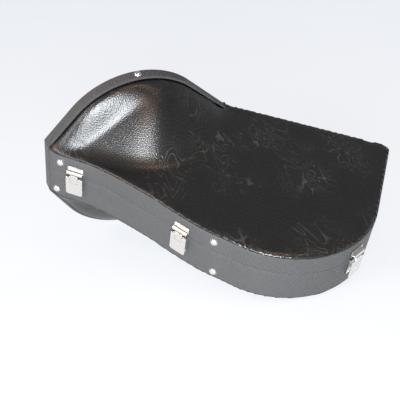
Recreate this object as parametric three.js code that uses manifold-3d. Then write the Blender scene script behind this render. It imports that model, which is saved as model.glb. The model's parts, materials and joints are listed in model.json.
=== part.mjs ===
// A hard-shell case for a horn with a fixed bell: a shallow two-part shell with one straight back, one
// curved front, and a domed hump above and below for the bell. Millimetres, +Z up, resting as on a floor.
import * as THREE from "three";
import { mergeVertices } from "three/addons/utils/BufferGeometryUtils.js";
import Module from "manifold-3d";

const wasm = await Module();
wasm.setup();

// ---- Driving dimensions -------------------------------------------------------------------------
// The case's own frame: the parting plane is z = 0, the mouth board stands in x = 0, and y runs along it.
const MOUTH_WIDTH = 340; // from the front corner to the back corner of the mouth board
const BACK_ANGLE = THREE.MathUtils.degToRad(49.4); // the straight back's turn from the mouth's axis
const BACK_LENGTH = 316;
const CORNER_RADIUS = 13; // the far back corner
const ROUND_RADIUS = 164; // the big round end
const ROUND_START = THREE.MathUtils.degToRad(-57); // where the front curve runs into the round end
const ROUND_INWARD = 176; // the round end's centre, in from the straight back
const BAND_WIDTH = 20;
const BAND_WALL = 4;
const MOUTH_BOARD = 5;
const WALL = 4;
const PANEL = 4.2;
const LID_WALL_TOP = 35.3;
const BASE_WALL_BOTTOM = -58.8;
const HUMP_RADIUS = 150; // the round part of the mouth board's outline
const HUMP_OFFSET = -8; // its centre, towards the front
const LID_HUMP_Z = -2; // height of the upper circle's centre
const BASE_HUMP_Z = -37; // height of the lower circle's centre
const HUMP_LENGTH = 131; // how far each hump runs in from the mouth
const FRONT_FOOT_SLOPE = 1.15; // steepness of the flank that comes down to the front edge
const FRONT_FOOT_START = [31, 11]; // where the flank's foot begins, in from the front corner
const FRONT_FOOT_ALONG = [79, 102]; // which way the foot runs, as x and y
const FRONT_FOOT_FROM = 55; // nearer the mouth than this the flank runs up to the band instead
const BLEND = 16; // how far the hump's creases are rounded
const GAP = 0.3; // between pieces that touch or turn
const PARTING_GAP = 0.4;
const LINING = 9;
const LID_LINING = 6;
const TONGUE = 1.6;
const TONGUE_HEIGHT = 6;
const TONGUE_DEPTH = 22;
const STUD_RADIUS = 6.8;
const STUD_HEIGHT = 4.2;
const STUD_RIM = 0.8; // a stud's straight edge, under its dome
const STUD_CORNER = 18; // a mouth stud, in from the mouth's side
const FOOT_HEIGHT = 5;
const FOOT_RADIUS = 7.8;
const FOOT_INSET = 18; // the two feet's centres, in from the round end
const FOOT_REACH = 97.45; // and past the round end's centre

const LATCH_SPOTS = [76, 294, 608]; // along the wall, from the front corner of the mouth
const LEVER_WIDTH = 30.5;
const LEVER_LENGTH = 38;
const LEVER_WALL = 1.5;
const PIVOT_OUT = 4.6; // the lever's pin, out from the wall
const PIVOT_Z = -1;
const PIN_RADIUS = 1.2;
const CLAW_OUT = PIVOT_OUT + 3; // the claw's axle, out from the wall
const CLAW_Z = -9;
const CLAW_WIDTH = 14;
const CLAW_LENGTH = 21;
const CLAW_WALL = 1.2;
const KNUCKLE_RADIUS = 1.8;
const AXLE_RADIUS = 0.8;
const NOTCH_WIDTH = 15;
const PLATE_WALL = 1;
const PLATE_WIDTH = 26;
const PLATE_HEIGHT = 32;
const PLATE_TOP = -3;
const EAR_WALL = 1.5;
const EAR_RADIUS = PIN_RADIUS + 0.7;
const EAR_DROP = 5; // how far each ear runs down from the pin
const LEVER_SWING = THREE.MathUtils.degToRad(130); // the ears clear the lever's back up to this
const EAR_INSET = 2.5; // the ears' outer faces, in from the plate's sides
const LUG_WALL = 1.4;
const LUG_INSET = 2.1; // the lugs' outer faces, in from the lever's sides
const CATCH_WIDTH = 29;
const CATCH_Z = [6, 20];
const LIP_RADIUS = 2.2;

const HINGE_SPOTS = [55, BACK_LENGTH - 44]; // along the straight back, from the mouth
const HINGE_WIDTH = 40;
const HINGE_LEAF = 18;
const HINGE_WALL = 1.2;
const HINGE_RADIUS = 2.6;
const HINGE_OUT = HINGE_RADIUS + 2 * GAP; // the hinge line, out from the back wall
const HINGE_PIN_RADIUS = 1.3;
const HINGE_MIDDLE = 13;

const HANDLE_SPOT = (HINGE_SPOTS[0] + HINGE_SPOTS[1]) / 2; // midway between the hinges
const HANDLE_SPAN = 106; // between the two posts
const POST_WIDTH = 16;
const POST_HEIGHT = 24;
const EYE_WIDTH = 6;
const EYE_HEIGHT = 8;
const HANDLE_Z = -24;
const HANDLE_OUT = 6.2;
const HANDLE_DROP = 22;
const GRIP_LENGTH = 76;
const GRIP_WIDTH = 16;
const GRIP_DEPTH = 12;
const LOOP_RADIUS = 2;
const LOOP_LEAN = 0.06; // how far the handle hangs out, as a share of its drop
const LOOP_BEND = 5;

// ---- Finishes -----------------------------------------------------------------------------------
const finish = (color, roughness, metalness) =>
  new THREE.MeshStandardMaterial({ color, roughness, metalness });
const PANEL_VINYL = () => finish(0x121214, 0.35, 0);
const WALL_VINYL = () => finish(0x1b1c1f, 0.5, 0);
const NICKEL = () => finish(0xc9c6bf, 0.25, 1);
const PLUSH = () => finish(0x5b1420, 0.95, 0);
const FOAM = () => finish(0x4a1019, 0.95, 0);
const PLASTIC = () => finish(0x101011, 0.45, 0);

// ---- Solids -------------------------------------------------------------------------------------
// A closed three.js geometry as a solid that can be cut and joined.
function solid(geometry) {
  const bare = geometry.index ? geometry.toNonIndexed() : geometry.clone();
  bare.deleteAttribute("normal");
  bare.deleteAttribute("uv");
  const merged = mergeVertices(bare, 1e-4);
  return new wasm.Manifold(
    new wasm.Mesh({
      numProp: 3,
      vertProperties: merged.attributes.position.array,
      triVerts: new Uint32Array(merged.index.array),
    }),
  );
}

// A solid as a named three.js mesh.
function piece(name, body, material) {
  const { vertProperties, triVerts } = body.getMesh();
  const geometry = new THREE.BufferGeometry();
  geometry.setAttribute("position", new THREE.BufferAttribute(vertProperties.slice(), 3));
  geometry.setIndex(new THREE.BufferAttribute(triVerts.slice(), 1));
  const mesh = new THREE.Mesh(geometry.toNonIndexed(), material);
  mesh.geometry.computeVertexNormals();
  mesh.name = name;
  return mesh;
}

// A block between two corners.
function block([x0, x1], [y0, y1], [z0, z1]) {
  const box = new THREE.BoxGeometry(x1 - x0, y1 - y0, z1 - z0);
  return solid(box.translate((x0 + x1) / 2, (y0 + y1) / 2, (z0 + z1) / 2));
}

// A round bar along x, centred on (y, z).
function bar(radius, [x0, x1], y, z, sides = 12) {
  const rod = new THREE.CylinderGeometry(radius, radius, x1 - x0, sides);
  return solid(rod.rotateZ(Math.PI / 2).translate((x0 + x1) / 2, y, z));
}

// An upright prism over a closed outline.
function prism(points, [z0, z1]) {
  const shape = new THREE.Shape(points);
  const upright = new THREE.ExtrudeGeometry(shape, { depth: z1 - z0, bevelEnabled: false });
  return solid(upright.translate(0, 0, z0));
}

// A prism along x over a closed outline in (y, z).
function lengthwise(points, [x0, x1]) {
  const shape = new THREE.Shape(points);
  const along = new THREE.ExtrudeGeometry(shape, { depth: x1 - x0, bevelEnabled: false });
  const toX = new THREE.Matrix4().set(0, 0, 1, x0, 1, 0, 0, 0, 0, 1, 0, 0, 0, 0, 0, 1);
  return solid(along.applyMatrix4(toX));
}

// A tube with closed ends along a curve.
function tube(curve, radius, steps) {
  const section = new THREE.Shape().absarc(0, 0, radius, 0, 2 * Math.PI);
  const sides = { steps, curveSegments: 4, bevelEnabled: false, extrudePath: curve };
  return solid(new THREE.ExtrudeGeometry(section, sides));
}

// ---- Plan of the case ---------------------------------------------------------------------------
const HALF = MOUTH_WIDTH / 2;
const backDirection = new THREE.Vector2(Math.cos(BACK_ANGLE), Math.sin(BACK_ANGLE));
const backInward = new THREE.Vector2(backDirection.y, -backDirection.x);
const backPoint = (along, inward) =>
  new THREE.Vector2(0, HALF)
    .addScaledVector(backDirection, along)
    .addScaledVector(backInward, inward);

const FRONT_POINTS = [
  [BAND_WIDTH, 0.5],
  [36, 8],
  [50, 20.5],
  [78, 49],
  [106, 71.5],
  [141, 94],
  [185, 120],
  [224, 140],
  [279, 171],
].map(([x, fromCorner]) => new THREE.Vector2(x, fromCorner - HALF));

// The round end is tangent to the far edge, which stands square to the back.
const roundCentre = backPoint(BACK_LENGTH - ROUND_RADIUS, ROUND_INWARD);
const roundPoint = (angle) =>
  new THREE.Vector2(Math.cos(angle), Math.sin(angle))
    .multiplyScalar(ROUND_RADIUS)
    .add(roundCentre);

function planPath() {
  const path = new THREE.CurvePath();
  const join = roundPoint(ROUND_START);
  path.add(new THREE.LineCurve(new THREE.Vector2(0, -HALF), FRONT_POINTS[0]));
  path.add(new THREE.SplineCurve([...FRONT_POINTS, join]));
  const { x, y } = roundCentre;
  path.add(new THREE.EllipseCurve(x, y, ROUND_RADIUS, ROUND_RADIUS, ROUND_START, BACK_ANGLE));
  const beforeCorner = backPoint(BACK_LENGTH, CORNER_RADIUS);
  path.add(new THREE.LineCurve(roundPoint(BACK_ANGLE), beforeCorner));
  const corner = backPoint(BACK_LENGTH - CORNER_RADIUS, CORNER_RADIUS);
  const turn = [CORNER_RADIUS, CORNER_RADIUS, BACK_ANGLE, BACK_ANGLE + Math.PI / 2];
  path.add(new THREE.EllipseCurve(corner.x, corner.y, ...turn));
  path.add(new THREE.LineCurve(backPoint(BACK_LENGTH - CORNER_RADIUS, 0), backPoint(0, 0)));
  return path;
}

const wallPath = planPath();
const STEPS = [1, 18, 14, 1, 5, 1];
const CORNER_CURVE = 4;

// The plan's corners and curve points. A sharp far corner serves the insets that its fillet can't follow.
function planOutline(sharp) {
  return wallPath.curves.flatMap((curve, i) => {
    if (sharp && i === CORNER_CURVE) return [backPoint(BACK_LENGTH, 0)];
    const last = i === STEPS.length - 1;
    const points = curve.getPoints(STEPS[i]).slice(0, last ? undefined : -1);
    return sharp && i === CORNER_CURVE + 1 ? points.slice(1) : points;
  });
}
const planPoints = planOutline(false);

// The plan with every side moved inwards. A side shorter than the move closes up.
function insetPlan(distance) {
  const points = planOutline(distance > CORNER_RADIUS - 2);
  const moved = points.map((point, i) => {
    const before = points.at(i - 1);
    const after = points[(i + 1) % points.length];
    const a = point.clone().sub(before).normalize();
    const b = after.clone().sub(point).normalize();
    const inward = new THREE.Vector2(-a.y - b.y, a.x + b.x).normalize();
    const mitre = distance / Math.max(0.5, inward.dot(new THREE.Vector2(-a.y, a.x)));
    return point.clone().addScaledVector(inward, mitre);
  });
  return moved.filter((point, i) => {
    const next = (i + 1) % points.length;
    const side = points[next].clone().sub(points[i]);
    return moved[next].clone().sub(point).dot(side) > 0;
  });
}

// ---- Mouth outline and humps --------------------------------------------------------------------
const LID_TOP = LID_WALL_TOP + PANEL;
const BASE_BOTTOM = BASE_WALL_BOTTOM - PANEL;

// One half of the mouth: a circle, and a straight run from it down to each corner.
function mouthHalf(circleZ, flatZ) {
  const rise = Math.abs(flatZ - circleZ) * Math.sign((flatZ - circleZ) * flatZ);
  return [-1, 1].map((side) => {
    const reach = HALF - side * HUMP_OFFSET;
    const distance = Math.hypot(reach, rise);
    // The angle, from upright, of the run's outward normal.
    const lean = Math.atan2(reach, rise) - Math.acos(Math.min(1, HUMP_RADIUS / distance));
    return { side, reach, lean };
  });
}

const LID_HALF = { sign: 1, circle: LID_HUMP_Z, flat: LID_TOP, runs: mouthHalf(LID_HUMP_Z, LID_TOP) };
const BASE_HALF = {
  sign: -1,
  circle: -BASE_HUMP_Z,
  flat: -BASE_BOTTOM,
  runs: mouthHalf(BASE_HUMP_Z, BASE_BOTTOM),
};

// Height of an arch over the parting plane, out from its middle: round, then straight at a lean.
function archHeight(half, out, lean, inset) {
  const radius = HUMP_RADIUS - inset;
  if (out < radius * Math.sin(lean)) return half.circle + Math.sqrt(radius ** 2 - out ** 2);
  return half.circle + (radius - out * Math.sin(lean)) / Math.cos(lean);
}

// Height of the mouth's outline over the parting plane at y, moved in by a wall's thickness.
function mouthHeight(half, y, inset) {
  const run = half.runs[y < HUMP_OFFSET ? 0 : 1];
  return archHeight(half, Math.abs(y - HUMP_OFFSET), run.lean, inset);
}

// The closed outline of one half of the mouth board, in (y, z), from the parting plane outwards.
function mouthOutline(half, inset, [front, back], sides = 20) {
  const points = [new THREE.Vector2(front, PARTING_GAP / 2)];
  points.push(new THREE.Vector2(front, mouthHeight(half, front, inset)));
  const [left, right] = half.runs.map((run) => run.lean);
  for (let i = 0; i <= sides; i += 1) {
    const angle = THREE.MathUtils.lerp(-left, right, i / sides);
    const y = HUMP_OFFSET + (HUMP_RADIUS - inset) * Math.sin(angle);
    points.push(new THREE.Vector2(y, half.circle + (HUMP_RADIUS - inset) * Math.cos(angle)));
  }
  points.push(new THREE.Vector2(back, mouthHeight(half, back, inset)));
  points.push(new THREE.Vector2(back, PARTING_GAP / 2));
  return points.map(({ x: y, y: z }) => new THREE.Vector2(y, half.sign * z));
}

// The soft larger of two heights: their crease is rounded over a width.
function softMax(a, b, width) {
  const near = Math.max(width - Math.abs(a - b), 0) / width;
  return Math.max(a, b) + (near * near * width) / 4;
}
const softMin = (a, b, width) => -softMax(-a, -b, width);

// Height of a half shell's outside: the flat panel, and the dome that falls away from the mouth.
function shellHeight(half, x, y, inset) {
  const footStart = new THREE.Vector2(FRONT_FOOT_START[0], FRONT_FOOT_START[1] - HALF);
  const footLine = new THREE.Vector2(...FRONT_FOOT_ALONG).normalize();
  const out = new THREE.Vector2(x, y).sub(footStart);
  const flank = (out.y * footLine.x - out.x * footLine.y) * FRONT_FOOT_SLOPE;
  const across = y - HUMP_OFFSET;
  const reach = Math.hypot((x / HUMP_LENGTH) * HALF, across);
  const [front, back] = half.runs.map((run) => archHeight(half, reach, run.lean, inset));
  const dome = THREE.MathUtils.lerp(front, back, 0.5 + across / (2 * reach)) - half.flat;
  const past = THREE.MathUtils.smoothstep(x, BAND_WIDTH, FRONT_FOOT_FROM);
  const rise = THREE.MathUtils.lerp(dome, softMin(dome, flank, BLEND * 2), past);
  return half.flat + softMax(rise, 0, BLEND);
}

// A solid under (or over) a shell's surface, moved towards the inside by a depth.
function terrain(half, depth, inset, floor) {
  const xs = [MOUTH_BOARD + GAP];
  for (let i = 1; i <= 10; i += 1) xs.push(xs[0] + ((HUMP_LENGTH + BLEND * 2) * i) / 10);
  xs.push(BACK_LENGTH + HALF);
  const columns = 18;
  const ys = Array.from({ length: columns + 1 }, (_, i) => -HALF + (MOUTH_WIDTH * i) / columns);
  ys.unshift(-HALF - WALL);
  ys.push(BACK_LENGTH + HALF);
  const plane = new THREE.BoxGeometry(1, 1, 1, xs.length - 1, ys.length - 1, 1);
  const position = plane.attributes.position;
  for (let i = 0; i < position.count; i += 1) {
    const x = xs[Math.round((position.getX(i) + 0.5) * (xs.length - 1))];
    const y = ys[Math.round((position.getY(i) + 0.5) * (ys.length - 1))];
    const top = position.getZ(i) * half.sign > 0;
    const surface = shellHeight(half, x, y, inset) - depth;
    position.setXYZ(i, x, y, half.sign * (top ? surface : floor));
  }
  return solid(plane);
}

// ---- Shell --------------------------------------------------------------------------------------
const FAR = BACK_LENGTH + MOUTH_WIDTH;
const UNDER_BAND = BAND_WALL + GAP;
// The mouth board's back edge stops short of the back wall's inner face.
const backWallInner = HALF - WALL / backDirection.x;

// The room inside the band: the mouth's outline less the band, and the flat shell at its back corner.
function inMouth(half, clearance = 0) {
  const inset = UNDER_BAND + clearance;
  const outline = mouthOutline(half, inset, [-HALF + inset, HALF - inset]);
  outline[0].y = outline.at(-1).y = -half.sign;
  const flat = [-1, half.flat - clearance];
  const behind = block([-1, FAR], [HALF / 2, FAR], half.sign > 0 ? flat : [-flat[1], -flat[0]]);
  return lengthwise(outline, [-1, FAR]).add(behind);
}

function shellHalf(half, wallEnd, name) {
  const pieces = [];
  const z = (a, b) => (half.sign > 0 ? [a, b] : [-b, -a]);

  const panelTop = terrain(half, 0, UNDER_BAND, wallEnd);
  const panelUnder = terrain(half, PANEL + 0.05, UNDER_BAND, wallEnd - WALL * 3);
  const atBand = block([0, BAND_WIDTH + GAP], [-FAR, FAR], z(-1, FAR)).subtract(inMouth(half));
  const overPlan = prism(planPoints, z(wallEnd, FAR));
  const panel = panelTop.intersect(overPlan).subtract(panelUnder).subtract(atBand);
  pieces.push(piece(`${name}_panel`, panel, PANEL_VINYL()));

  const ring = prism(planPoints, z(PARTING_GAP / 2, wallEnd - GAP));
  const room = prism(insetPlan(WALL), z(-1, FAR));
  const frontEnd = block([-WALL, BAND_WIDTH + GAP], [-HALF - WALL, 0], z(-1, FAR));
  const mouthEnd = block([-WALL, MOUTH_BOARD + GAP], [-HALF, backWallInner], z(-1, FAR));
  const wall = ring.subtract(room).subtract(frontEnd).subtract(mouthEnd);
  pieces.push(piece(`${name}_side_wall`, wall, WALL_VINYL()));

  const boardEdges = [-HALF + UNDER_BAND, backWallInner - GAP];
  const board = lengthwise(mouthOutline(half, UNDER_BAND, boardEdges), [0, MOUTH_BOARD]);
  pieces.push(piece(`${name}_mouth_board`, board, WALL_VINYL()));

  const bandOuter = lengthwise(mouthOutline(half, 0, [-HALF, HALF]), [0, BAND_WIDTH]);
  const inner = mouthOutline(half, BAND_WALL, [-HALF + BAND_WALL, HALF - BAND_WALL]);
  inner[0].y = inner.at(-1).y = -half.sign;
  const bandInner = lengthwise(inner, [-1, BAND_WIDTH + 1]);
  const backFoot = block([-1, BAND_WIDTH + 1], [HALF / 2, HALF + 1], z(-1, half.flat + GAP));
  const band = bandOuter.subtract(bandInner).subtract(backFoot);
  pieces.push(piece(`${name}_band`, band, WALL_VINYL()));
  return pieces;
}

// ---- Linings and fittings inside ----------------------------------------------------------------
const insideWall = WALL + GAP + TONGUE + GAP;

// A soft tray that follows the shell inside: a floor under the panel, and sides up the walls.
function lining(half, thickness, rim, name) {
  const z = (a, b) => (half.sign > 0 ? [a, b] : [-b, -a]);
  const clear = PANEL + 0.05 + GAP;
  const outer = terrain(half, clear, UNDER_BAND + GAP, rim);
  const within = prism(insetPlan(insideWall), z(rim, FAR));
  const hollow = terrain(half, clear + thickness, UNDER_BAND + GAP, -rim);
  const roomy = prism(insetPlan(insideWall + thickness), z(-FAR, FAR));
  const room = hollow.intersect(roomy);
  const atBoard = block([-1, MOUTH_BOARD + GAP], [-HALF, HALF], z(-FAR, FAR));
  const atBand = block([0, BAND_WIDTH + GAP], [-FAR, FAR], z(-1, FAR));
  const tray = outer
    .intersect(within)
    .subtract(room)
    .subtract(atBoard)
    .subtract(atBand.subtract(inMouth(half, GAP + PANEL)));
  return piece(name, tray, PLUSH());
}

// The strip inside the base wall that the lid closes over.
function rimTongue() {
  const outside = prism(insetPlan(WALL + GAP), [-TONGUE_DEPTH, TONGUE_HEIGHT]);
  const inside = prism(insetPlan(WALL + GAP + TONGUE), [-FAR, FAR]);
  const atMouth = block([-1, BAND_WIDTH + GAP], [-HALF, HALF], [-FAR, FAR]);
  return piece("rim_tongue", outside.subtract(inside).subtract(atMouth), WALL_VINYL());
}

const baseFloor = BASE_BOTTOM + PANEL + 0.05 + GAP + LINING + GAP;

// A foam wall across the hump's hollow, with a round notch for the bell's throat.
const SADDLE = { x: 68, thick: 24, top: -12, backGap: 60, throat: 58 };
function bellSaddle() {
  const { x, thick } = SADDLE;
  const hollow = terrain(BASE_HALF, PANEL + 0.05 + LINING + GAP * 3, UNDER_BAND + GAP, -SADDLE.top);
  const wall = block([x, x + thick], [-HALF, HALF - SADDLE.backGap], [-FAR, SADDLE.top]);
  const within = prism(insetPlan(insideWall + LINING + GAP), [-FAR, 0]);
  const throat = bar(SADDLE.throat, [x - 1, x + thick + 1], HUMP_OFFSET + 2, -2, 28);
  return piece("bell_saddle", wall.intersect(hollow).intersect(within).subtract(throat), FOAM());
}

// An oval outline in the middle of the round end.
function oval(width, length) {
  const { x, y } = roundCentre;
  const curve = new THREE.EllipseCurve(x, y, width / 2, length / 2, 0, 2 * Math.PI);
  return curve.getPoints(24).slice(0, -1);
}

// A low foam pad that carries the horn's tubes in the middle of the round end.
const REST = { width: 126, length: 96, height: 16 };
function bodyRest() {
  const outline = oval(REST.width, REST.length);
  return piece("body_rest", prism(outline, [baseFloor, baseFloor + REST.height]), FOAM());
}

// An open tray for small things in the far back corner, in the back wall's frame.
const TRAY = { along: [BACK_LENGTH - 94, BACK_LENGTH - 16], inward: [18, 74], top: -8, wall: 3 };
function accessoryTray() {
  const y = [-TRAY.inward[1], -TRAY.inward[0]];
  const outer = block(TRAY.along, y, [baseFloor, TRAY.top]);
  const shrink = ([a, b]) => [a + TRAY.wall, b - TRAY.wall];
  const hollow = block(shrink(TRAY.along), shrink(y), [baseFloor + TRAY.wall, 0]);
  return piece("accessory_tray", outer.subtract(hollow), PLUSH());
}

// A foam block with two pockets that hold mouthpieces upright.
const POCKETS = {
  along: [TRAY.along[0] - 102, TRAY.along[0] - 24],
  inward: [18, 52],
  top: -14,
  radius: 14,
  taper: 2,
  spacing: 38,
  floor: 6,
};
function mouthpieceBlock() {
  const y = [-POCKETS.inward[1], -POCKETS.inward[0]];
  const middle = [(POCKETS.along[0] + POCKETS.along[1]) / 2, (y[0] + y[1]) / 2];
  let foam = block(POCKETS.along, y, [baseFloor, POCKETS.top]);
  for (const side of [-1, 1]) {
    const depth = POCKETS.top - baseFloor;
    const pocket = new THREE.CylinderGeometry(POCKETS.radius, POCKETS.radius - POCKETS.taper, depth, 16);
    const x = middle[0] + (side * POCKETS.spacing) / 2;
    const z = baseFloor + POCKETS.floor + depth / 2;
    foam = foam.subtract(solid(pocket.rotateX(Math.PI / 2).translate(x, middle[1], z)));
  }
  return piece("mouthpiece_block", foam, FOAM());
}

// A cushion on the lid's flat lining that holds the horn down.
const PAD = { width: 170, length: 130, thickness: 12 };
function lidPad() {
  const under = LID_TOP - PANEL - 0.05 - GAP - LID_LINING - GAP;
  const pad = prism(oval(PAD.width, PAD.length), [under - PAD.thickness, under]);
  return piece("lid_pad", pad, PLUSH());
}

// ---- Hardware -----------------------------------------------------------------------------------
// Hardware is drawn on a wall: x runs along it, -y points out of it, and z is up.
// On a curved wall it lies flat on the wall's outermost points over its own width.
function onWall(distance, width) {
  const at = distance / wallPath.getLength();
  const point = wallPath.getPointAt(at);
  const tangent = wallPath.getTangentAt(at).normalize();
  const outward = new THREE.Vector2(tangent.y, -tangent.x);
  let proud = -Infinity;
  planPoints.forEach((from, i) => {
    const to = planPoints[(i + 1) % planPoints.length];
    for (let step = 0; step <= 1; step += 0.05) {
      const offset = from.clone().lerp(to, step).sub(point);
      const near = Math.abs(offset.dot(tangent)) <= width / 2 + WALL && offset.length() < width;
      if (near) proud = Math.max(proud, offset.dot(outward));
    }
  });
  const group = new THREE.Group();
  group.position.set(point.x, point.y, 0).addScaledVector(outward, proud);
  group.position.z = 0;
  group.rotation.z = Math.atan2(tangent.y, tangent.x);
  return group;
}
const fromBackCorner = (along) => wallPath.getLength() - along;
const out = (a, b) => [-b, -a];

// An ear's outline in (y, z): round over the pin, and sloped back to the wall to clear the open lever.
function earOutline() {
  const rim = [0, 1, 2, 3].map((i) => (LEVER_SWING * i) / 3);
  const round = rim.map((angle) => [Math.cos(angle) * EAR_RADIUS, Math.sin(angle) * EAR_RADIUS]);
  const [touchOut, touchUp] = round.at(-1);
  const wall = PLATE_WALL * 0.9 - PIVOT_OUT;
  const slope = Math.tan(Math.PI / 2 - (Math.PI - LEVER_SWING));
  const up = touchUp - (touchOut - wall) * slope;
  const points = [[wall, up], [wall, -EAR_DROP], [EAR_RADIUS, -EAR_DROP], ...round];
  return points.map(([away, z]) => new THREE.Vector2(-away - PIVOT_OUT, z + PIVOT_Z));
}

function latchPieces(name) {
  const sideways = (side, from, wall) => [side * from, side * (from + wall)].sort((a, b) => a - b);
  const plateX = [-PLATE_WIDTH / 2, PLATE_WIDTH / 2];
  const plateZ = [PLATE_TOP - PLATE_HEIGHT, PLATE_TOP];
  const pinHole = bar(PIN_RADIUS + GAP, [-LEVER_WIDTH, LEVER_WIDTH], -PIVOT_OUT, PIVOT_Z);
  let plate = block(plateX, out(GAP, GAP + PLATE_WALL), plateZ);
  for (const side of [-1, 1]) {
    const ear = sideways(side, PLATE_WIDTH / 2 - EAR_INSET - EAR_WALL, EAR_WALL);
    plate = plate.add(lengthwise(earOutline(), ear));
  }

  const half = LEVER_WIDTH / 2;
  const leverTop = PIVOT_Z + 2;
  const leverEnd = leverTop - LEVER_LENGTH;
  const face = new THREE.Shape();
  const round = 5;
  face.moveTo(-half, leverTop).lineTo(-half, leverEnd + round);
  face.absarc(-half + round, leverEnd + round, round, Math.PI, Math.PI * 1.5, false);
  face.absarc(half - round, leverEnd + round, round, Math.PI * 1.5, Math.PI * 2, false);
  face.lineTo(half, leverTop);
  const sheet = new THREE.ExtrudeGeometry(face, {
    depth: LEVER_WALL,
    bevelEnabled: false,
    curveSegments: 4,
  });
  const leverOut = CLAW_OUT - LEVER_WALL / 2;
  sheet.rotateX(Math.PI / 2).translate(0, -leverOut, 0);
  let lever = solid(sheet);
  const notchEnd = CLAW_Z - KNUCKLE_RADIUS - PARTING_GAP;
  const notch = [-NOTCH_WIDTH / 2, NOTCH_WIDTH / 2];
  lever = lever.subtract(block(notch, out(0, LEVER_WALL * 8), [notchEnd, leverTop + 1]));
  for (const side of [-1, 1]) {
    const lug = sideways(side, half - LUG_INSET - LUG_WALL, LUG_WALL);
    const lugOut = out(PIVOT_OUT - 2 * PIN_RADIUS, leverOut + 0.2);
    lever = lever.add(block(lug, lugOut, [PIVOT_Z - 2 * PIN_RADIUS, leverTop]));
    const knuckle = sideways(side, NOTCH_WIDTH / 2 + 0.2, 2);
    lever = lever.add(bar(KNUCKLE_RADIUS, knuckle, -CLAW_OUT, CLAW_Z));
  }
  const axle = NOTCH_WIDTH / 2 + KNUCKLE_RADIUS;
  const axleHole = bar(AXLE_RADIUS + GAP, [-axle - GAP, axle + GAP], -CLAW_OUT, CLAW_Z, 8);
  lever = lever.subtract(pinHole).subtract(axleHole);

  const clawX = [-CLAW_WIDTH / 2, CLAW_WIDTH / 2];
  const clawOut = out(CLAW_OUT - CLAW_WALL / 2, CLAW_OUT + CLAW_WALL / 2);
  const claw = block(clawX, clawOut, [CLAW_Z, CLAW_Z + CLAW_LENGTH])
    .add(bar(KNUCKLE_RADIUS, clawX, -CLAW_OUT, CLAW_Z))
    .add(bar(AXLE_RADIUS, [-axle, axle], -CLAW_OUT, CLAW_Z, 8));

  const pinEnd = half - LUG_INSET + 0.4;
  const pin = bar(PIN_RADIUS, [-pinEnd, pinEnd], -PIVOT_OUT, PIVOT_Z);

  const catchX = [-CATCH_WIDTH / 2, CATCH_WIDTH / 2];
  const lipOut = CLAW_OUT - CLAW_WALL / 2 - 0.55 - LIP_RADIUS;
  const lipZ = CATCH_Z[0] + LIP_RADIUS + 0.2;
  const catchPlate = block(catchX, out(GAP, GAP + PLATE_WALL), CATCH_Z)
    .add(bar(LIP_RADIUS, [catchX[0] + 1, catchX[1] - 1], -lipOut, lipZ))
    .add(block([catchX[0] + 1, catchX[1] - 1], out(GAP, lipOut), [lipZ - 1.2, lipZ + 1.2]));
  return [
    piece(`${name}_plate`, plate.subtract(pinHole), NICKEL()),
    piece(`${name}_lever`, lever, NICKEL()),
    piece(`${name}_claw`, claw, NICKEL()),
    piece(`${name}_pin`, pin, NICKEL()),
    piece(`${name}_catch`, catchPlate, NICKEL()),
  ];
}

function hingePieces(name) {
  const half = HINGE_WIDTH / 2;
  const middle = [-HINGE_MIDDLE / 2, HINGE_MIDDLE / 2];
  const clear = HINGE_RADIUS + 2 * GAP;
  const leafOut = out(GAP, GAP + HINGE_WALL);
  const bore = bar(HINGE_PIN_RADIUS + GAP, [-half - 1, half + 1], -HINGE_OUT, 0);
  const roll = (x) => bar(HINGE_RADIUS, x, -HINGE_OUT, 0);
  const ends = [
    [-half, middle[0] - GAP],
    [middle[1] + GAP, half],
  ];
  let base = block([-half, half], leafOut, [-HINGE_LEAF, -clear]);
  for (const x of ends) base = base.add(block(x, leafOut, [-clear - 1, 0])).add(roll(x));
  const lid = block([-half, half], leafOut, [clear, HINGE_LEAF])
    .add(block(middle, leafOut, [0, clear + 1]))
    .add(roll(middle));
  return [
    piece(`${name}_base_leaf`, base.subtract(bore), NICKEL()),
    piece(`${name}_lid_leaf`, lid.subtract(bore), NICKEL()),
    piece(`${name}_pin`, bar(HINGE_PIN_RADIUS, [-half, half], -HINGE_OUT, 0), NICKEL()),
  ];
}

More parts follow.
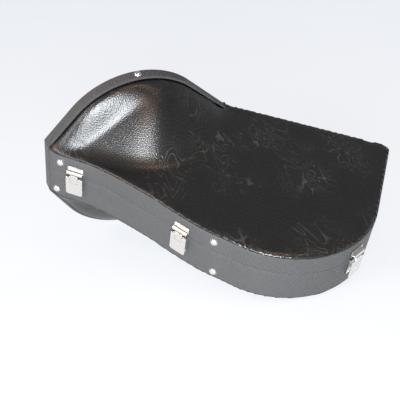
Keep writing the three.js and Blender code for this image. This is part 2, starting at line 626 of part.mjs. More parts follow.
function handlePieces() {
  const pieces = [];
  for (const [side, name] of [
    [-1, "left"],
    [1, "right"],
  ]) {
    const x = (side * HANDLE_SPAN) / 2;
    const around = (centre, width) => [centre - width / 2, centre + width / 2];
    const plateOut = out(GAP, GAP + HINGE_WALL);
    const plate = block(around(x, POST_WIDTH), plateOut, around(HANDLE_Z, POST_HEIGHT));
    const eyeOut = out(HINGE_WALL, HANDLE_OUT + 2 * LOOP_RADIUS);
    const eye = block(around(x, EYE_WIDTH), eyeOut, around(HANDLE_Z, EYE_HEIGHT));
    const hole = bar(LOOP_RADIUS + GAP, around(x, EYE_WIDTH + 2), -HANDLE_OUT, HANDLE_Z);
    pieces.push(piece(`handle_post_${name}`, plate.add(eye).subtract(hole), NICKEL()));

    const bend = (along, down) =>
      new THREE.Vector3(side * along, -HANDLE_OUT - down * LOOP_LEAN, HANDLE_Z - down);
    const inner = HANDLE_SPAN / 2 - EYE_WIDTH - 1;
    const leg = inner - 4;
    const gripEnd = GRIP_LENGTH / 2 + GAP;
    const path = new THREE.CurvePath();
    const low = HANDLE_DROP;
    const turn = (...points) => new THREE.QuadraticBezierCurve3(...points.map((p) => bend(...p)));
    path.add(new THREE.LineCurve3(bend(HANDLE_SPAN / 2 + EYE_WIDTH, 0), bend(inner, 0)));
    path.add(turn([inner, 0], [leg, 0], [leg, LOOP_BEND]));
    path.add(new THREE.LineCurve3(bend(leg, LOOP_BEND), bend(leg, low - LOOP_BEND)));
    path.add(turn([leg, low - LOOP_BEND], [leg, low], [gripEnd, low]));
    pieces.push(piece(`handle_loop_${name}`, tube(path, LOOP_RADIUS, 14), NICKEL()));
  }
  const gripZ = HANDLE_Z - HANDLE_DROP;
  const gripOut = HANDLE_OUT + HANDLE_DROP * LOOP_LEAN + GAP;
  const section = new THREE.Shape()
    .absellipse(0, 0, GRIP_DEPTH / 2, GRIP_WIDTH / 2, 0, 2 * Math.PI)
    .getPoints(4);
  const around = section.slice(0, -1).map((p) => new THREE.Vector2(p.x - gripOut, p.y + gripZ));
  const grip = lengthwise(around, [-GRIP_LENGTH / 2, GRIP_LENGTH / 2]);
  pieces.push(piece("handle_grip", grip, PLASTIC()));
  return pieces;
}

// A domed stud whose flat back faces +z, drawn with its dome towards -z.
function stud(name, height = STUD_HEIGHT, radius = STUD_RADIUS) {
  const profile = [new THREE.Vector2(0, -height)];
  for (let i = 1; i <= 4; i += 1) {
    const angle = (Math.PI / 2) * (i / 4);
    profile.push(new THREE.Vector2(radius * Math.sin(angle), -height * Math.cos(angle)));
  }
  profile.push(new THREE.Vector2(radius, STUD_RIM), new THREE.Vector2(0, STUD_RIM));
  const dome = solid(new THREE.LatheGeometry(profile, 12).rotateX(Math.PI / 2));
  return piece(name, dome, NICKEL());
}

// ---- Assembly -----------------------------------------------------------------------------------
const shell = new THREE.Group();
shell.add(...shellHalf(LID_HALF, LID_WALL_TOP, "lid"));
shell.add(...shellHalf(BASE_HALF, -BASE_WALL_BOTTOM, "base"));
shell.add(rimTongue());
shell.add(lining(BASE_HALF, LINING, 4, "base_lining"));
shell.add(lining(LID_HALF, LID_LINING, TONGUE_HEIGHT + 2, "lid_lining"));
shell.add(bellSaddle(), bodyRest(), lidPad());

const backFrame = new THREE.Group();
backFrame.position.set(0, HALF, 0);
backFrame.rotation.z = BACK_ANGLE;
backFrame.add(accessoryTray(), mouthpieceBlock());
shell.add(backFrame);

["left", "middle", "right"].forEach((side, i) => {
  const place = onWall(LATCH_SPOTS[i], PLATE_WIDTH);
  place.add(...latchPieces(`latch_${side}`));
  shell.add(place);
});
["near", "far"].forEach((side, i) => {
  const place = onWall(fromBackCorner(HINGE_SPOTS[i]), HINGE_WIDTH);
  place.add(...hingePieces(`hinge_${side}`));
  shell.add(place);
});
const handlePlace = onWall(fromBackCorner(HANDLE_SPOT), HANDLE_SPAN);
handlePlace.add(...handlePieces());
shell.add(handlePlace);

// Studs on the walls: name, distance along the wall, and height.
for (const [name, along, z] of [
  ["stud_front_lid", 48, LID_WALL_TOP - 14.3],
  ["stud_front_base", 39, BASE_WALL_BOTTOM + 14.8],
  ["stud_bulge_lid", 355, LID_WALL_TOP - 14.3],
  ["stud_bulge_base", 361, BASE_WALL_BOTTOM + 12.8],
]) {
  const place = onWall(along, 2 * STUD_RADIUS);
  const dome = stud(name);
  dome.rotation.x = -Math.PI / 2;
  dome.position.set(0, -STUD_RIM - GAP, z);
  place.add(dome);
  shell.add(place);
}

// Studs on the band, over the top and under the bottom of the mouth.
for (const half of [LID_HALF, BASE_HALF]) {
  const dome = stud(half.sign > 0 ? "stud_band_lid" : "stud_band_base");
  dome.rotation.x = half.sign > 0 ? Math.PI : 0;
  const z = half.circle + HUMP_RADIUS + STUD_RIM + GAP;
  dome.position.set(BAND_WIDTH / 2, HUMP_OFFSET, half.sign * z);
  shell.add(dome);
}

// Studs on the mouth board, near its four corners.
for (const [name, y, z] of [
  ["stud_mouth_lid_front", -HALF + STUD_CORNER, LID_WALL_TOP - 4],
  ["stud_mouth_lid_back", HALF - STUD_CORNER, LID_WALL_TOP - 4],
  ["stud_mouth_base_front", -HALF + STUD_CORNER, BASE_WALL_BOTTOM + 8],
  ["stud_mouth_base_back", HALF - STUD_CORNER, BASE_WALL_BOTTOM + 8],
]) {
  const dome = stud(name);
  dome.rotation.y = Math.PI / 2;
  dome.position.set(-STUD_RIM - GAP, y, z);
  shell.add(dome);
}

// Two feet under the round end, as far from the mouth as each other.
const footX = roundCentre.x + FOOT_REACH;
const footSide = Math.sqrt((ROUND_RADIUS - FOOT_INSET) ** 2 - FOOT_REACH ** 2);
for (const [name, side] of [
  ["foot_front", -1],
  ["foot_back", 1],
]) {
  const foot = stud(name, FOOT_HEIGHT, FOOT_RADIUS);
  const y = roundCentre.y + side * footSide;
  foot.position.set(footX, y, BASE_BOTTOM - STUD_RIM - GAP);
  shell.add(foot);
}

// The case rests on the stud under its hump and on the two feet, so it lies tilted.
const humpRest = BASE_HALF.circle + HUMP_RADIUS + STUD_RIM + GAP + STUD_HEIGHT;
const footRest = -BASE_BOTTOM + STUD_RIM + GAP + FOOT_HEIGHT;
shell.rotation.y = Math.atan2(humpRest - footRest, footX - BAND_WIDTH / 2);

const hornCase = new THREE.Group();
hornCase.add(shell);
hornCase.updateMatrixWorld(true);
const extent = new THREE.Box3().setFromObject(hornCase, true);
shell.position.set(
  -(extent.min.x + extent.max.x) / 2,
  -(extent.min.y + extent.max.y) / 2,
  -extent.min.z,
);

export default hornCase;
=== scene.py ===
import json
import math

import bmesh
import bpy
from mathutils import Matrix, Vector
from mathutils.bvhtree import BVHTree
from mathutils.geometry import interpolate_bezier


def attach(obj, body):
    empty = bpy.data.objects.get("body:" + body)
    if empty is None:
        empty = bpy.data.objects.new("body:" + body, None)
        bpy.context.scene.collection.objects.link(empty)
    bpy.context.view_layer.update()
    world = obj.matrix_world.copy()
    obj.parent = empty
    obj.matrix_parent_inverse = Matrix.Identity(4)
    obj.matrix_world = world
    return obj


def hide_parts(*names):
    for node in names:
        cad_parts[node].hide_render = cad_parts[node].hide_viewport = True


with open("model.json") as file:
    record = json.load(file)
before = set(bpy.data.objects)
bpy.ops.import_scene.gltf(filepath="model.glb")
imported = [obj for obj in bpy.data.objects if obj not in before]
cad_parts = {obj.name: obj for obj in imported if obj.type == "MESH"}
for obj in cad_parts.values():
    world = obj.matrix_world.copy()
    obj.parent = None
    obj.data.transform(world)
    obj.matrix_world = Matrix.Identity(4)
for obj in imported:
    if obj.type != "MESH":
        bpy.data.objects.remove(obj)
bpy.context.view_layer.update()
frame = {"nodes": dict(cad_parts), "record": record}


# ---- The case's own frame -----------------------------------------------------------------------
# The case is cut and fitted square to itself, and only then laid down tilted on its hump. Its own frame
# has the parting line at height 0, the mouth board at 0 along, and the mouth running from front to back.
MM = 0.001
record = frame["record"]
mounts = {mount["name"]: mount for mount in record["mounts"]}
joints = {joint["name"]: joint for joint in record["behaviour"]["joints"]}
along_axis = -Vector(mounts["mouth_face"]["axis"])
up_axis = -Vector(mounts["base_bottom"]["axis"])
across_axis = up_axis.cross(along_axis)
case_turn = Matrix((along_axis, across_axis, up_axis)).transposed()
MOUNT_ACROSS = 0.030
MOUNT_DOWN = 0.060
mouth_corner = Vector(mounts["mouth_face"]["pos_m"])
mouth_corner = mouth_corner - across_axis * MOUNT_ACROSS + up_axis * MOUNT_DOWN
case_place = Matrix.Translation(mouth_corner) @ case_turn.to_4x4()


def put_in_place(bm, name, finish, body, place=case_place, creased=35):
    """Turns a piece drawn in millimetres into a named object that rides on its body."""
    bmesh.ops.scale(bm, vec=(MM, MM, MM), verts=bm.verts)
    bmesh.ops.transform(bm, matrix=place, verts=bm.verts)
    mesh = bpy.data.meshes.new(name)
    bm.to_mesh(mesh)
    bm.free()
    mesh.polygons.foreach_set("use_smooth", [True] * len(mesh.polygons))
    if creased:
        mesh.set_sharp_from_angle(angle=math.radians(creased))
    mesh.materials.append(finish)
    piece = bpy.data.objects.new(name, mesh)
    bpy.context.collection.objects.link(piece)
    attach(piece, body)
    return piece


def thicken(piece, wall, rounding=0.0, steps=3):
    """Gives a skin its wall inwards, and rounds the edges that are left sharp."""
    solid = piece.modifiers.new("wall", "SOLIDIFY")
    solid.thickness = wall * MM
    solid.offset = -1
    if rounding:
        round_edges(piece, rounding, steps)


def round_edges(piece, rounding, steps=3, angle=40):
    soft = piece.modifiers.new("rounding", "BEVEL")
    soft.width = rounding * MM
    soft.segments = steps
    soft.limit_method = "ANGLE"
    soft.angle_limit = math.radians(angle)
    soft.harden_normals = False


# ---- Covering vinyl -----------------------------------------------------------------------------
# The shell is plywood and fibreboard wrapped in black vinyl. The panels have a glossy skin of fine
# beads with looping creases pressed in it, and the walls a wavy, duller one.
def socket(group, name, way, kind="NodeSocketFloat", value=None):
    made = group.interface.new_socket(name=name, in_out=way, socket_type=kind)
    if value is not None:
        made.default_value = value
    return made


def node_maker(tree):
    """Returns a function that adds a node, sets its options and plugs in its inputs."""

    def add(kind, inputs=None, **options):
        node = tree.nodes.new("ShaderNode" + kind)
        for option, value in options.items():
            setattr(node, option, value)
        for key, value in (inputs or {}).items():
            if isinstance(value, bpy.types.NodeSocket):
                tree.links.new(value, node.inputs[key])
            else:
                node.inputs[key].default_value = value
        return node

    return add


def ranged(add, value, low, high, start=0.0, end=1.0, **options):
    """Stretches a value from the range low to high onto start to end."""
    return add("MapRange", {"Value": value, 1: low, 2: high, 3: start, 4: end}, **options).outputs[0]


def contoured_grain():
    """Fine beads in a close lattice, with patches of thin looping creases pressed across them."""
    group = bpy.data.node_groups.new("contoured_grain", "ShaderNodeTree")
    socket(group, "Vector", "INPUT", "NodeSocketVector")
    socket(group, "Height", "OUTPUT")
    socket(group, "Crease", "OUTPUT")
    socket(group, "Bead", "OUTPUT")
    socket(group, "Mottle", "OUTPUT")
    inside = group.nodes.new("NodeGroupInput").outputs
    outside = group.nodes.new("NodeGroupOutput").inputs
    add = node_maker(group)
    vector = inside["Vector"]
    beads = add("TexVoronoi", {"Vector": vector, "Scale": 360.0, "Randomness": 0.6}, feature="F1")
    distance = beads.outputs["Distance"]
    bead = ranged(add, distance, 0.1, 0.6, 1.0, 0.0, interpolation_type="SMOOTHSTEP")
    pulled = add("Mapping", {"Vector": vector, "Scale": (13.0, 30.0, 20.0), "Rotation": (0, 0, -0.75)})
    # Level lines of a stretched landscape make the creases, and a second one says where they lie.
    hills = add(
        "TexNoise", {"Vector": pulled.outputs[0], "Scale": 1.0, "Detail": 1.5, "Distortion": 0.9}
    )
    level = add("Math", {0: hills.outputs["Fac"], 1: 11.0}, operation="MULTIPLY")
    swing = add("Math", {0: level.outputs[0], 1: 0.5}, operation="PINGPONG")
    line = ranged(add, swing.outputs[0], 0.0, 0.11, 1.0, 0.0)
    patches = add("TexNoise", {"Vector": vector, "Scale": 11.0, "Detail": 2.0})
    strength = ranged(add, patches.outputs["Fac"], 0.44, 0.58)
    crease = add("Math", {0: line, 1: strength}, operation="MULTIPLY")
    height = add("Math", {0: crease.outputs[0], 1: 1.4, 2: bead}, operation="MULTIPLY_ADD")
    group.links.new(height.outputs[0], outside["Height"])
    group.links.new(crease.outputs[0], outside["Crease"])
    group.links.new(bead, outside["Bead"])
    group.links.new(patches.outputs["Fac"], outside["Mottle"])
    return group


def wavy_grain():
    """Fine wavering ridges, with short breaks between them."""
    group = bpy.data.node_groups.new("wavy_grain", "ShaderNodeTree")
    socket(group, "Vector", "INPUT", "NodeSocketVector")
    socket(group, "Ridges per metre", "INPUT", value=95.0)
    socket(group, "Height", "OUTPUT")
    socket(group, "Mottle", "OUTPUT")
    inside = group.nodes.new("NodeGroupInput").outputs
    outside = group.nodes.new("NodeGroupOutput").inputs
    add = node_maker(group)
    vector = inside["Vector"]
    sway = add("TexNoise", {"Vector": vector, "Scale": 60.0, "Detail": 2.0})
    bent = add(
        "VectorMath",
        {0: sway.outputs["Color"], 1: (0.016, 0.016, 0.016), 2: vector},
        operation="MULTIPLY_ADD",
    )
    ridges = add(
        "TexWave",
        {"Vector": bent.outputs[0], "Scale": inside["Ridges per metre"], "Distortion": 2.5, "Detail": 2.0},
        bands_direction="DIAGONAL",
    )
    breaks = add("TexNoise", {"Vector": vector, "Scale": 420.0, "Detail": 2.0})
    height = add(
        "Math", {0: ridges.outputs["Fac"], 1: 0.6, 2: breaks.outputs["Fac"]}, operation="MULTIPLY_ADD"
    )
    patches = add("TexNoise", {"Vector": vector, "Scale": 14.0, "Detail": 3.0})
    group.links.new(height.outputs[0], outside["Height"])
    group.links.new(patches.outputs["Fac"], outside["Mottle"])
    return group


def scuff_and_highlight_patches():
    """Rubbed places: broken patches wherever the rubbing is strong, used both for real wear and for a
    painted warm highlight along the rolled edge.
    """
    group = bpy.data.node_groups.new("scuff_and_highlight_patches", "ShaderNodeTree")
    socket(group, "Vector", "INPUT", "NodeSocketVector")
    socket(group, "Rubbing", "INPUT", value=0.0)
    socket(group, "Mask", "OUTPUT")
    inside = group.nodes.new("NodeGroupInput").outputs
    outside = group.nodes.new("NodeGroupOutput").inputs
    add = node_maker(group)
    grit = add("TexNoise", {"Vector": inside["Vector"], "Scale": 260.0, "Detail": 5.0, "Roughness": 0.7})
    level = add("Math", {0: grit.outputs["Fac"], 1: inside["Rubbing"]}, operation="MULTIPLY")
    group.links.new(ranged(add, level.outputs[0], 0.42, 0.62), outside["Mask"])
    return group


contoured = contoured_grain()
wavy = wavy_grain()
scuff_and_highlight_group = scuff_and_highlight_patches()


def blank_material(name):
    material = bpy.data.materials.new(name)
    material.use_nodes = True
    tree = material.node_tree
    shader = tree.nodes["Principled BSDF"]
    return material, tree, shader, node_maker(tree)


def blend(add, mask, low, high):
    """A colour that goes from low to high with the mask."""
    return add("Mix", {0: mask, 6: low, 7: high}, data_type="RGBA").outputs[2]


def raise_grain(tree, shader, add, height, strength, distance):
    """Lets a height over the surface tilt the light on it."""
    bump = add("Bump", {"Height": height, "Strength": strength, "Distance": distance})
    tree.links.new(bump.outputs[0], shader.inputs["Normal"])


def panel_vinyl():
    material, tree, shader, add = blank_material("panel_vinyl")
    place = add("TexCoord").outputs["Object"]
    grain = add("Group", {}, node_tree=contoured)
    tree.links.new(place, grain.inputs["Vector"])
    rub = add("Attribute", attribute_name="rub")
    worn_and_highlit = add("Group", {}, node_tree=scuff_and_highlight_group)
    tree.links.new(place, worn_and_highlit.inputs["Vector"])
    tree.links.new(rub.outputs["Fac"], worn_and_highlit.inputs["Rubbing"])
    cloudy = ranged(add, grain.outputs["Mottle"], 0.3, 0.7)
    base = blend(add, cloudy, (0.0045, 0.0042, 0.004, 1), (0.0075, 0.007, 0.0066, 1))
    # Bead tops are painted lighter: a painted highlight standing in for the glints on the beads.
    beaded = add("Math", {0: grain.outputs["Bead"], 1: 0.5}, operation="MULTIPLY")
    with_bead_glints = blend(add, beaded.outputs[0], base, (0.020, 0.019, 0.018, 1))
    # The pressed creases are painted lighter: a painted highlight standing in for the glints along them.
    lined = blend(add, grain.outputs["Crease"], with_bead_glints, (0.045, 0.044, 0.043, 1))
    # Patches on the rolled edge turn warm brown: partly real wear, partly a painted warm highlight along the
    # edge.
    rubbed_and_highlit = blend(add, worn_and_highlit.outputs["Mask"], lined, (0.07, 0.05, 0.038, 1))
    tree.links.new(rubbed_and_highlit, shader.inputs["Base Color"])
    gloss = ranged(add, grain.outputs["Bead"], 0.0, 1.0, 0.30, 0.17)
    tree.links.new(gloss, shader.inputs["Roughness"])
    # The grain is pulled nearly flat where the vinyl is stretched over the edge.
    stretched = ranged(add, rub.outputs["Fac"], 0.0, 0.7, 0.28, 0.04)
    raise_grain(tree, shader, add, grain.outputs["Height"], stretched, 0.0005)
    return material


def wall_vinyl():
    material, tree, shader, add = blank_material("wall_vinyl")
    place = add("TexCoord").outputs["Object"]
    grain = add("Group", {}, node_tree=wavy)
    tree.links.new(place, grain.inputs["Vector"])
    cloudy = ranged(add, grain.outputs["Mottle"], 0.3, 0.7)
    base = blend(add, cloudy, (0.034, 0.0345, 0.0355, 1), (0.046, 0.0465, 0.0475, 1))
    # The ridge crests are painted lighter than the hollows: a painted highlight on the grain.
    ridge = ranged(add, grain.outputs["Height"], 0.3, 1.2)
    ridge_painted_highlight = blend(add, ridge, base, (0.070, 0.071, 0.073, 1))
    tree.links.new(ridge_painted_highlight, shader.inputs["Base Color"])
    gloss = ranged(add, grain.outputs["Height"], 0.2, 1.3, 0.62, 0.44)
    tree.links.new(gloss, shader.inputs["Roughness"])
    raise_grain(tree, shader, add, grain.outputs["Height"], 0.8, 0.0007)
    return material


panel_skin = panel_vinyl()
wall_skin = wall_vinyl()


# ---- Plan of the case ---------------------------------------------------------------------------
# One outline is sawn for every layer: a short straight side at the mouth, a long easy curve down the
# front, a big round end, and a straight back that meets the far edge in a small rounded corner.
MOUTH_WIDTH = 340.0
HALF_MOUTH = MOUTH_WIDTH / 2
BACK_ANGLE = math.radians(49.4)
BACK_LENGTH = 316.0
CORNER_RADIUS = 13.0
ROUND_RADIUS = 164.0
ROUND_START = math.radians(-57)
ROUND_INWARD = 176.0
BAND_WIDTH = 20.0
FRONT_SPOTS = (
    (20, 0.5), (36, 8), (50, 20.5), (78, 49), (106, 71.5), (141, 94), (185, 120), (224, 140), (279, 171),
)
back_along = Vector((math.cos(BACK_ANGLE), math.sin(BACK_ANGLE), 0))
back_inward = Vector((back_along.y, -back_along.x, 0))


def back_spot(along, inward=0.0):
    return Vector((0, HALF_MOUTH, 0)) + back_along * along + back_inward * inward


round_centre = back_spot(BACK_LENGTH - ROUND_RADIUS, ROUND_INWARD)


def arc(centre, radius, start, end, steps):
    turns = [start + (end - start) * i / steps for i in range(steps + 1)]
    return [centre + Vector((math.cos(turn), math.sin(turn), 0)) * radius for turn in turns]


def front_curve(steps=10):
    """The long front curve, through its marked spots and smoothly into the round end."""
    spots = [Vector((x, y - HALF_MOUTH, 0)) for x, y in FRONT_SPOTS]
    spots.append(arc(round_centre, ROUND_RADIUS, ROUND_START, 0, 1)[0])
    last = len(spots) - 1
    run = []
    for i in range(last):
        before, a, b, after = spots[max(i - 1, 0)], spots[i], spots[i + 1], spots[min(i + 2, last)]
        run += interpolate_bezier(a, a + (b - before) / 6, b - (after - a) / 6, b, steps + 1)[:-1]
    return run


# The wall's run, from the front corner of the mouth round to the back corner.
corner_centre = back_spot(BACK_LENGTH - CORNER_RADIUS, CORNER_RADIUS)
wall_run = [Vector((0, -HALF_MOUTH, 0))] + front_curve()
wall_run += arc(round_centre, ROUND_RADIUS, ROUND_START, BACK_ANGLE, 110)
wall_run += arc(corner_centre, CORNER_RADIUS, BACK_ANGLE, BACK_ANGLE + math.pi / 2, 16)
back_steps = 24
back_end = BACK_LENGTH - CORNER_RADIUS
wall_run += [back_spot(back_end * (1 - i / back_steps)) for i in range(1, back_steps + 1)]


def wall_spot(distance):
    """A point on the wall that far round from the front corner, and the wall's direction there."""
    for a, b in zip(wall_run, wall_run[1:]):
        step = (b - a).length
        if distance <= step:
            return a.lerp(b, distance / step), (b - a).normalized()
        distance -= step
    return wall_run[-1], back_along * -1


# ---- Mouth outline and hump ---------------------------------------------------------------------
# The mouth is a round arch with a straight run down to each corner. Behind it the panel swells in a
# quarter dome over the bell, and its flanks run out into the flat top with an easy hollow.
HUMP_RADIUS = 150.0
HUMP_ACROSS = -8.0
HUMP_LENGTH = 131.0
FOOT_START = Vector((31, 11 - HALF_MOUTH, 0))
FOOT_LINE = Vector((79, 102, 0)).normalized()
FOOT_FROM = 55.0
FLANK_SLOPE = 1.15
HOLLOW = 16.0
PANEL_WALL = 4.2


class Half:
    """The lid or the base: which way it faces, and its heights over the parting line."""

    def __init__(self, name, sign, circle, flat):
        self.name, self.sign, self.circle, self.flat = name, sign, circle, flat
        rise = flat - circle
        reaches = (HALF_MOUTH + HUMP_ACROSS, HALF_MOUTH - HUMP_ACROSS)
        self.leans = [
            math.atan2(reach, rise) - math.acos(HUMP_RADIUS / math.hypot(reach, rise)) for reach in reaches
        ]

    def arch_height(self, out, lean, inset):
        """The arch's height out from its middle: round, then straight at a lean."""
        radius = HUMP_RADIUS - inset
        if out < radius * math.sin(lean):
            return self.circle + math.sqrt(radius**2 - out**2)
        return self.circle + (radius - out * math.sin(lean)) / math.cos(lean)

    def mouth_height(self, across, inset):
        lean = self.leans[0 if across < HUMP_ACROSS else 1]
        return self.arch_height(abs(across - HUMP_ACROSS), lean, inset)

    def skin_height(self, x, y, inset):
        """The panel's outside, with its crease at the foot filled and its shoulder eased."""
        out_x, out_y = x - FOOT_START.x, y - FOOT_START.y
        flank = (out_y * FOOT_LINE.x - out_x * FOOT_LINE.y) * FLANK_SLOPE
        across = y - HUMP_ACROSS
        reach = math.hypot(x / HUMP_LENGTH * HALF_MOUTH, across)
        front, back = (self.arch_height(reach, lean, inset) for lean in self.leans)
        dome = front + (back - front) * (0.5 + across / (2 * reach)) - self.flat
        share = min(1.0, max(0.0, (x - BAND_WIDTH) / (FOOT_FROM - BAND_WIDTH)))
        past = share * share * (3 - 2 * share)
        rise = dome + (-soft_larger(-dome, -flank, HOLLOW * 2) - dome) * past
        return self.flat + soft_larger(rise, 0, HOLLOW)

    def mouth_run(self, inset, steps=96):
        """The mouth's outline, from the parting line up over the arch and down again."""
        front, back = inset - HALF_MOUTH, HALF_MOUTH - inset
        run = [(front, 0.2), (front, self.mouth_height(front, inset))]
        for i in range(steps + 1):
            angle = -self.leans[0] + (self.leans[0] + self.leans[1]) * i / steps
            reach = HUMP_RADIUS - inset
            run.append((HUMP_ACROSS + reach * math.sin(angle), self.circle + reach * math.cos(angle)))
        run += [(back, self.mouth_height(back, inset)), (back, 0.2)]
        return [Vector((0, y, z * self.sign)) for y, z in run]


def soft_larger(a, b, width):
    near = max(width - abs(a - b), 0) / width
    return max(a, b) + near * near * width / 4


lid = Half("lid", 1, -2.0, 39.5)
base = Half("base", -1, 37.0, 63.0)


# ---- Top and bottom panels ----------------------------------------------------------------------
# Each panel is one moulded board, skinned in beaded vinyl that is rolled over the edge and tucked
# against the wall. At the mouth it is drawn down over a shoulder and runs in under the band.
UNDER_BAND = 4.3
BAND_END = BAND_WIDTH + 0.3
PANEL_START = 5.3
SKIN_WALL = 3.4
ROLL = 4.2
RUB_MIDDLE = 1.0
RUB_REACH = 3.2
SHOULDER = 10.0
SHOULDER_DROP = 2.4
BELOW_BAND = 2.0


def plan_board():
    """The sawn board: rings along its edge that follow the outline, and a close grid inside them."""
    bm = bmesh.new()
    inner = bm.faces.new([bm.verts.new(spot) for spot in wall_run])
    for ring in (0.15, 0.3, 0.5, 0.7, 0.9, 1.0, 1.0):
        bmesh.ops.inset_region(bm, faces=[inner], thickness=ring, use_even_offset=True)
    for face in bm.faces:
        face.material_index = 0 if face == inner else 1
    fine, coarse, hump_end = 3.2, 9.0, 180
    cuts = [(x, 0) for x in marks(PANEL_START, hump_end, fine) + marks(hump_end + coarse, 398, coarse)]
    cuts += [(y, 1) for y in marks(-168, hump_end, fine) + marks(hump_end + coarse, 412, coarse)]
    cuts += [(BAND_END + SHOULDER * (1 - math.cos(math.pi / 2 * i / 6)), 0) for i in range(1, 7)]
    for at, way in cuts:
        cut_board(bm, at, way, [face for face in bm.faces if face.material_index == 0])
    for at, way in ((PANEL_START, 0), (BAND_END, 0), (UNDER_BAND + 0.1 - HALF_MOUTH, 1)):
        cut_board(bm, at, way, bm.faces[:])
    for face in bm.faces:
        face.material_index = 0
    return bm


def cut_board(bm, at, way, faces):
    """Cuts some of the board's faces along a line across it (way 0) or lengthwise (way 1)."""
    across = Vector((1, 0, 0)) if way == 0 else Vector((0, 1, 0))
    edges = {edge for face in faces for edge in face.edges}
    verts = {vert for face in faces for vert in face.verts}
    geometry = sorted(verts, key=lambda v: v.index) + sorted(edges, key=lambda e: e.index) + faces
    bmesh.ops.bisect_plane(bm, geom=geometry, plane_co=across * at, plane_no=across, dist=1e-4)
    bm.verts.index_update()
    bm.edges.index_update()


def marks(start, end, step):
    return [start + step * i for i in range(int((end - start) / step) + 1)]


plan_cut = plan_board()
upright = [(spot.x, spot.y, height) for spot in wall_run for height in (-1, 1)]
rim = BVHTree.FromPolygons(upright, [(i, i + 1, i + 3, i + 2) for i in range(0, len(upright) - 2, 2)])


def rim_distance(co):
    return rim.find_nearest((co.x, co.y, 0))[3]


def under_band(x):
    """How far the panel lies inside the mouth's outline: it is drawn down where it meets the band."""
    share = min(1.0, max(0.0, (BAND_END + SHOULDER - x) / SHOULDER))
    return BELOW_BAND + SHOULDER_DROP * (1 - math.sqrt(1 - share**2))


def trim(bm, start, band_clear):
    """Takes away what would lie in front of the mouth board or in the band's front side."""
    gone = []
    for face in bm.faces:
        middle = face.calc_center_median()
        in_front = middle.x < start
        under_side = middle.x < BAND_END and middle.y < band_clear - HALF_MOUTH
        if in_front or under_side:
            gone.append(face)
    bmesh.ops.delete(bm, geom=gone, context="FACES")


def panel(half):
    bm = plan_cut.copy()
    trim(bm, PANEL_START, UNDER_BAND + 0.1)
    rub = bm.verts.layers.float.new("rub")
    for vert in bm.verts:
        edge = rim_distance(vert.co)
        drop = 0.0
        if edge < ROLL:
            drop = ROLL - math.sqrt(max(ROLL**2 - (ROLL - edge) ** 2, 0))
        vert[rub] = max(0.0, 1 - abs(edge - RUB_MIDDLE) / RUB_REACH)
        inset = under_band(vert.co.x)
        vert.co.z = half.sign * (half.skin_height(vert.co.x, vert.co.y, inset) - drop)
    if half.sign < 0:
        bmesh.ops.reverse_faces(bm, faces=bm.faces)
    made = put_in_place(bm, f"{half.name}_panel_skin", panel_skin, half.name, creased=None)
    thicken(made, SKIN_WALL)
    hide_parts(f"{half.name}_panel")


for half in (lid, base):
    panel(half)


# ---- Side walls ---------------------------------------------------------------------------------
# Bent plywood strips wrapped in the wavy vinyl. Lid and base walls meet at the parting line with a
# small rounded edge on each, and each wall stands just inside the roll of its panel.
WALL = 4.0
PARTING_GAP = 0.4
LID_WALL_TOP = 35.0
BASE_WALL_BOTTOM = -58.5


def verts_in(grown):
    return [item for item in grown["geom"] if isinstance(item, bmesh.types.BMVert)]


def edges_in(grown):
    return [item for item in grown["geom"] if isinstance(item, bmesh.types.BMEdge)]


def line(bm, spots):
    """A row of corners joined by edges."""
    verts = [bm.verts.new(spot) for spot in spots]
    return verts, [bm.edges.new(pair) for pair in zip(verts, verts[1:])]


def draw_out(bm, edges, step, steps=1):
    """Draws a line of edges out into a skin, in equal steps."""
    for _ in range(steps):
        grown = bmesh.ops.extrude_edge_only(bm, edges=edges)
        bmesh.ops.translate(bm, vec=step, verts=verts_in(grown))
        edges = edges_in(grown)


def strip(spots, low, high, steps):
    """An upright strip along a line of spots."""
    bm = bmesh.new()
    edges = line(bm, [(spot.x, spot.y, low) for spot in spots])[1]
    draw_out(bm, edges, (0, 0, (high - low) / steps), steps)
    return bm


def face_away(bm, inside):
    """Turns a skin's faces away from a point inside."""
    face = max(bm.faces, key=lambda f: f.calc_area())
    if face.normal.dot(face.calc_center_median() - Vector(inside)) < 0:
        bmesh.ops.reverse_faces(bm, faces=bm.faces)


CASE_MIDDLE = (150, 100, 0)
WALL_EDGE = 0.7
visible_run = [spot for spot in wall_run if spot.x > BAND_WIDTH or spot.y > 0]
visible_run[0] = Vector((BAND_END, visible_run[0].y, 0))
visible_run[-1] = back_spot(PANEL_START / back_along.x)
for name, low, high in (
    ("lid", PARTING_GAP / 2, LID_WALL_TOP),
    ("base", BASE_WALL_BOTTOM, -PARTING_GAP / 2),
):
    bm = strip(visible_run, low, high, 4)
    bm.normal_update()
    face_away(bm, CASE_MIDDLE)
    wall = put_in_place(bm, f"{name}_wall_skin", wall_skin, name, creased=None)
    thicken(wall, WALL, WALL_EDGE)
    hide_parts(f"{name}_side_wall")


